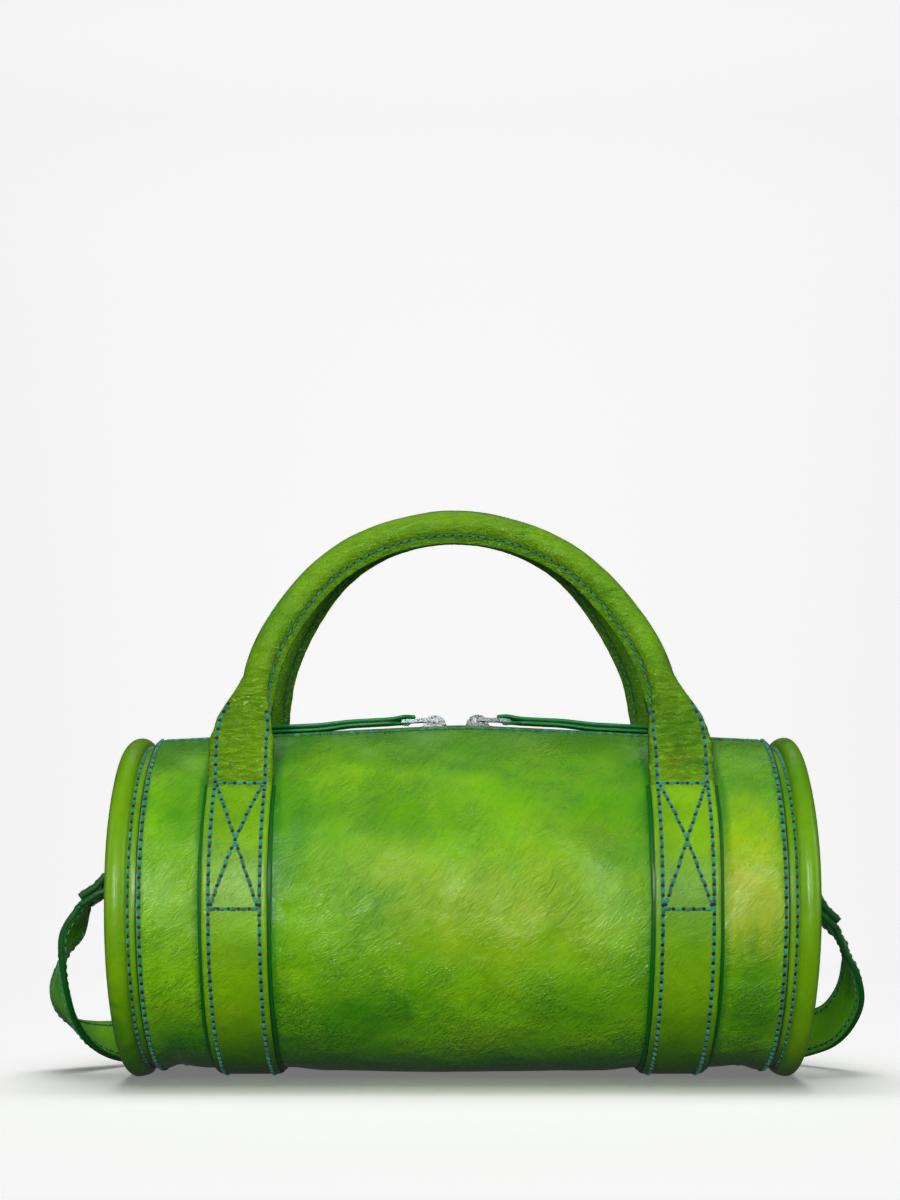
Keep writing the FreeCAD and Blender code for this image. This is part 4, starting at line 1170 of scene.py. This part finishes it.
pl, tl = ends["left"]
pr, tr = ends["right"]
z_edge = pl[2]
route = [pl, pl + tl * 10] + [np.array([x, y, z_edge]) for x, y in REAR] + [pr + tr * 10, pr]
line = quad_spline(route)
o, lines = belt("rear_shoulder_strap", line, np.repeat([[0, 0, 1.0]], len(line), 0))
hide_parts("rear_strap_run")
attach(o, "bag")
s_o = stitch_mesh("rear_shoulder_stitching", lines, pitch=3.5, radius=0.46, gap=0.8)
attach(s_o, "bag")
lengths += arclen(line)[-1]
print("shoulder strap length mm", round(lengths, 1))

# ring tabs: a leather strip sewn to the end panel and looped round the ring's inner bar
for nm, sd in (("left", -1), ("right", 1)):
    z = RING_Z[nm]
    px = ROLL_X + 2.0 + 1.3
    path = [np.array([sd * (px + 0.2), 0, z + 25.0]), np.array([sd * (px + 0.25), 0, z + 16.0]), np.array([sd * (px + 0.35), 0, z + 8.0])]
    for ang in np.linspace(115, -115, 12):
        rr_ = WIRE_R + 0.35 + 0.75
        path.append(np.array([sd * (RING_X + rr_ * math.cos(math.radians(ang))), 0, z + rr_ * math.sin(math.radians(ang))]))
    path.append(np.array([sd * (px - 1.0), 0, z - 1.4]))
    line = catmull(path, 6)
    o, lines = belt(nm + "_ring_tab_leather", line, np.repeat([[0, 1.0, 0]], len(line), 0), length_step=0.8, w=16.0, t=1.5, mat=M_strap)
    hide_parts(nm + "_ring_tab")
    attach(o, "bag")
    face = [l for l in lines]
    keep_lines = []
    for p, n_ in face:
        sel = (p[:, 2] > z + 5) & (np.abs(p[:, 0]) > px)
        if sel.sum() > 5:
            keep_lines.append((p[sel], n_[sel]))
    for zz in (z + 22.5, z + 7.5):
        y = np.linspace(-5.6, 5.6, 12)
        p = np.stack([np.full(12, sd * (px + 1.05)), y, np.full(12, zz)], -1)
        keep_lines.append((p, np.repeat([[sd, 0.0, 0.0]], 12, 0)))
    s_o = stitch_mesh(nm + "_ring_tab_stitching", keep_lines, pitch=3.0, radius=0.42, gap=0.8)
    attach(s_o, "bag")

# ------------------------------------------------------------------ zip pullers
BETA = math.atan(LIP_SLOPE)


def zip_point(sd, s, n, y=0.0):
    """s outward along the zip's slope, n off its plane, for the slider on side sd."""
    s, n, y = np.broadcast_arrays(np.asarray(s, float), np.asarray(n, float), np.asarray(y, float))
    x = s * math.cos(BETA) + n * math.sin(BETA)
    z = -s * math.sin(BETA) + n * math.cos(BETA) + CHAIN_Z0 + LIP_SLOPE * 6.0 - 0.02
    z = z + (-LIP_SLOPE * SLIDER_MID if sd > 0 else LIP_SLOPE * SLIDER_MID)
    return np.stack([sd * x + SLIDER_MID, y, z], -1)


def puller_n(s, layer, sd):
    """Height of a puller's layer off the zip: it curls over the bar, then sags."""
    s = np.asarray(s, float)
    k = (s - PULL_PIVOT - 7.0) / (PULLER_END - PULL_PIVOT - 7.0)
    low = 3.80 - 1.05 * smooth(39, 56, s)
    n = low + (1.60 if layer else 0.0) + 0.05 * np.sin(s / 9 + layer + sd)
    if layer:
        n = n + 0.75 * bump(k, 0.06, 0.07) + 0.20 * smooth(39, 56, s)
    return n


def puller(sd):
    nm = "left" if sd < 0 else "right"
    for layer in (0, 1):
        s = np.linspace(PULL_PIVOT + (7.2 if layer else 12.6), PULLER_END, 90)
        k = (s - s[0]) / (s[-1] - s[0])
        w = PULLER_W * (0.62 + 0.38 * smooth(0, 0.10, k)) * np.sqrt(np.clip(1 - smooth(0.955, 1.0, k) * 0.75, 0.02, 1))
        mid_n = puller_n(s, layer, sd)
        t = 0.62
        prof = np.array([(-1, -0.5), (-1, 0.5), (-0.97, 0.85), (-0.88, 1.0), (-0.72, 0.82), (-0.5, 1.0), (0, 1.05), (0.5, 1.0), (0.72, 0.82), (0.88, 1.0), (0.97, 0.85)])
        prof = np.concatenate([prof, -prof])
        P = zip_point(sd, s[:, None], mid_n[:, None] + t * prof[None, :, 1], w[:, None] * prof[None, :, 0])
        if sd < 0:
            P = P[:, ::-1]
            prof = prof[::-1]
        ed = np.repeat((np.abs(prof[:, 0]) > 0.96).astype(float)[None], len(P), 0)
        ed[-2:] = 1
        dk = np.repeat((0.25 + 0.5 * (np.abs(prof[:, 0]) > 0.85))[None], len(P), 0)
        if not layer:
            dk = dk * 0 + 0.7
        o = tube("%s_puller_layer_%d" % (nm, layer), P, {"dark": dk, "edge": ed * 0.9})
        paint(o, M_pull)
        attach(o, nm + "_pull")
    # dark cement line between the two layers
    s = np.linspace(PULL_PIVOT + 12.9, PULLER_END - 0.6, 60)
    w = PULLER_W * 0.965 * np.sqrt(np.clip(1 - smooth(0.955, 1.0, (s - s[0]) / (s[-1] - s[0])) * 0.75, 0.02, 1))
    prof = np.array([(-1, -1), (-1, 1), (0, 1), (1, 1), (1, -1), (0, -1)])
    gap_n = (puller_n(s, 1, sd) + puller_n(s, 0, sd)) / 2
    P = zip_point(sd, s[:, None], gap_n[:, None] + 0.34 * prof[None, :, 1], w[:, None] * prof[None, :, 0])
    if sd < 0:
        P = P[:, ::-1]
    o = tube(nm + "_puller_core", P, {"dark": np.ones(P.shape[:2]), "edge": np.zeros(P.shape[:2])})
    paint(o, M_core_dark)
    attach(o, nm + "_pull")
    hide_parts(nm + "_zip_puller")
    # tongue through the bar's slot
    ang = np.linspace(0, 1, 14)
    p_s = PULL_PIVOT + 9.7 + 1.9 * np.sin(ang * math.pi) * -0.0
    tongue = [(PULL_PIVOT + 10.4, PULL_N + 0.9), (PULL_PIVOT + 9.75, PULL_N + 0.4), (PULL_PIVOT + 9.7, PULL_N - 0.2), (PULL_PIVOT + 9.8, PULL_N - 0.9), (PULL_PIVOT + 10.8, PULL_N - 1.25), (PULL_PIVOT + 13.2, PULL_N - 0.8)]
    line = catmull([(a_, b_, 0) for a_, b_ in tongue], 6)
    prof = np.array([(-1.7, -0.4), (-1.7, 0.4), (0, 0.5), (1.7, 0.4), (1.7, -0.4), (0, -0.5)])
    tn = unit(np.gradient(line[:, :2], axis=0))
    nr = np.stack([-tn[:, 1], tn[:, 0]], -1)
    S = line[:, 0:1] + nr[:, 0:1] * prof[None, :, 1]
    N = line[:, 1:2] + nr[:, 1:2] * prof[None, :, 1]
    P = zip_point(sd, S, N, np.repeat(prof[None, :, 0], len(S), 0))
    if sd < 0:
        P = P[:, ::-1]
    o = tube(nm + "_puller_tongue", P, {"dark": np.full(P.shape[:2], 0.6), "edge": np.zeros(P.shape[:2])})
    paint(o, M_pull)
    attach(o, nm + "_pull")


def dark_core():
    n = Nodes("layer_cement")
    n.set(Base_Color=n.mix(n.noise(1.5, 3), srgb(8, 16, 20), srgb(20, 34, 34)), Roughness=0.6, Normal=n.bump(n.noise(0.8, 3), 0.4, 0.15))
    return n.m


M_core_dark = dark_core()
for sd in (-1, 1):
    puller(sd)

# ------------------------------------------------------------------ CAD nodes that stay
for name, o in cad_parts.items():
    if name in ("body_lining",):
        paint(o, M_lining)
    elif name.endswith("_core") or name.endswith("_cord"):
        paint(o, M_core)
    elif name.endswith("_tape"):
        paint(o, M_tape)
    elif name.endswith(("_teeth", "_stop", "_slider", "_pull_bar")):
        paint(o, M_zip_metal)
    elif name.endswith(("_ring", "_rivet")):
        paint(o, M_ring_metal)
    if name.endswith(("_slider", "_pull_bar")):
        b = o.modifiers.new("soft edges", "BEVEL")
        b.width = 0.00028
        b.segments = 3
        b.limit_method = "ANGLE"
        b.harden_normals = False

# ------------------------------------------------------------------ floor, light, camera
GLOW = [(0, 0.72), (0.15, 0.45), (0.26, 0.05), (0.312, 0.2337), (0.32, 0.2049),
        (0.33, 0.1874), (0.338, 0.1753), (0.346, 0.1662), (0.357, 0.1624), (0.3685, 0.1652),
        (0.385, 0.1776), (0.409, 0.2332), (0.435, 0.3249), (0.4676, 0.4258), (0.5, 0.4859),
        (0.54, 0.5624), (0.58, 0.6432), (0.62, 0.728), (0.655, 0.7859), (1, 0.7)]
PAPER = 0.95


def stage_material():
    """Pale paper that glows a little where less light falls, so that the white stays even."""
    n = Nodes("studio_paper")
    g = n.ramp(n.attr("run"), [(p, (v, v, v, 1)) for p, v in GLOW])
    n.bsdf.inputs["Base Color"].default_value = (PAPER, PAPER, PAPER, 1)
    n.bsdf.inputs["Roughness"].default_value = 0.9
    n.bsdf.inputs["Specular IOR Level"].default_value = 0.0
    n.link(g, n.bsdf.inputs["Emission Color"])
    n.bsdf.inputs["Emission Strength"].default_value = 1.0
    return n.m


def sweep_floor():
    y = np.concatenate([np.linspace(-3000, 900, 60), 900 + 900 * np.sin(np.linspace(0, math.pi / 2, 40))[1:], np.full(30, 1800.0)])
    z = np.concatenate([np.zeros(60), 900 * (1 - np.cos(np.linspace(0, math.pi / 2, 40)))[1:], np.linspace(900, 4200, 31)[1:]])
    run = arclen(np.stack([y, z], -1))
    run = run / run[-1]
    x = np.linspace(-3600, 3600, 12)
    P = np.stack([np.repeat(x[:, None], len(y), 1), np.repeat(y[None], len(x), 0), np.repeat(z[None], len(x), 0)], -1)
    me = bpy.data.meshes.new("studio_floor")
    me.from_pydata([tuple(p) for p in P.reshape(-1, 3) / 1000], [], [tuple(f) for f in grid_faces(len(x), len(y))])
    me.polygons.foreach_set("use_smooth", np.ones(len(me.polygons), bool))
    at = me.attributes.new("run", "FLOAT", "POINT")
    at.data.foreach_set("value", np.repeat(run[None], len(x), 0).ravel())
    o = bpy.data.objects.new("studio_floor", me)
    bpy.context.scene.collection.objects.link(o)
    o.data.materials.append(stage_material())
    # the paper's own glow lights neither the bag nor its gloss
    o.visible_diffuse = False
    o.visible_glossy = False
    o.visible_shadow = False
    return o


def round_wall():
    """The rest of the white studio, for the sides that the sweep leaves open."""
    t = np.linspace(0, 2 * math.pi, 97)
    rows = [np.stack([2900 * np.cos(t), 2900 * np.sin(t), np.full_like(t, z)], -1) for z in (0.0, 1500.0, 3000.0, 4500.0)]
    rows.append(np.stack([10 * np.cos(t), 10 * np.sin(t), np.full_like(t, 4600.0)], -1))
    P = np.stack(rows)
    me = bpy.data.meshes.new("studio_wall")
    me.from_pydata([tuple(p) for p in P.reshape(-1, 3) / 1000], [], [tuple(f) for f in grid_faces(*P.shape[:2])])
    o = bpy.data.objects.new("studio_wall", me)
    bpy.context.scene.collection.objects.link(o)
    n = Nodes("studio_white")
    n.bsdf.inputs["Base Color"].default_value = (0, 0, 0, 1)
    n.bsdf.inputs["Specular IOR Level"].default_value = 0.0
    n.bsdf.inputs["Emission Color"].default_value = (1, 1, 1, 1)
    n.bsdf.inputs["Emission Strength"].default_value = 0.92
    me.materials.append(n.m)
    o.visible_diffuse = False
    o.visible_glossy = False
    o.visible_shadow = False


sweep_floor()
round_wall()
scene = bpy.context.scene
world = bpy.data.worlds.new("studio")
scene.world = world
world.use_nodes = True
bg = world.node_tree.nodes["Background"]
bg.inputs[0].default_value = (1, 1, 1, 1)
bg.inputs[1].default_value = 0.055


def area(name, loc, target, size, power, size_y=None, glossy=True):
    d = bpy.data.lights.new(name, "AREA")
    d.shape = "RECTANGLE"
    d.size = size
    d.size_y = size_y or size
    d.energy = power
    o = bpy.data.objects.new(name, d)
    scene.collection.objects.link(o)
    o.location = loc
    o.rotation_euler = (Vector(target) - Vector(loc)).to_track_quat("-Z", "Y").to_euler()
    o.visible_glossy = glossy
    o.visible_camera = False
    return o


C = (SX / 1000, SY / 1000, 0.07)
area("top_soft", (0.0, -0.15, 1.7), C, 1.5, 12.0, 1.1, glossy=False)
local = [area("front_soft", (0.0, -2.05, 0.50), C, 1.5, 21.0, 0.8, glossy=False),
         area("back_fill", (0.3, 1.6, 0.9), C, 1.2, 9.0, 0.8, glossy=False),
         area("bounce_card", (0.0, -0.48, 0.012), (0, -0.02, 0.20), 0.9, 0.32, 0.25, glossy=False),
         area("left_softbox", (-0.225, -0.92, 0.33), (-0.08, -0.08, 0.08), 0.17, 3.2, 0.26),
         area("right_softbox", (0.235, -0.92, 0.36), (0.08, -0.08, 0.08), 0.14, 0.9, 0.24),
         area("left_strip", (-1.1, -0.35, 0.5), C, 0.25, 1.4, 0.9),
         area("right_strip", (1.1, -0.35, 0.45), C, 0.25, 2.4, 0.9),
         area("back_top", (0.0, 0.75, 1.3), C, 0.9, 0.7, 0.25)]
# the paper is lit from overhead only, so that the bag's own shadow stays under it
paper = bpy.data.collections.new("studio_paper")
for o in (bpy.data.objects["studio_floor"], bpy.data.objects["studio_wall"]):
    paper.objects.link(o)
for o in local:
    o.light_linking.receiver_collection = paper
for c in paper.collection_objects:
    c.light_linking.link_state = "EXCLUDE"
lit = bpy.data.collections.new("studio_paper_lit")
for o in (bpy.data.objects["studio_floor"], bpy.data.objects["studio_wall"]):
    lit.objects.link(o)
area("floor_top", (0.0, 0.35, 1.5), (0, -0.05, 0), 0.9, 10.5, 0.6, glossy=False).light_linking.receiver_collection = lit

cam_d = bpy.data.cameras.new("camera")
cam = bpy.data.objects.new("camera", cam_d)
scene.collection.objects.link(cam)
cam_d.sensor_width = 36.0
cam_d.lens = 57.0
cam.location = (SX / 1000, SY / 1000 - 0.750, (AZ + 8.0) / 1000)
cam.rotation_euler = (math.radians(90), 0, 0)
cam_d.shift_x = -12.5 / 1200
cam_d.shift_y = 287.0 / 1200
cam_d.clip_start = 0.05
scene.camera = cam
scene.view_settings.view_transform = "Standard"
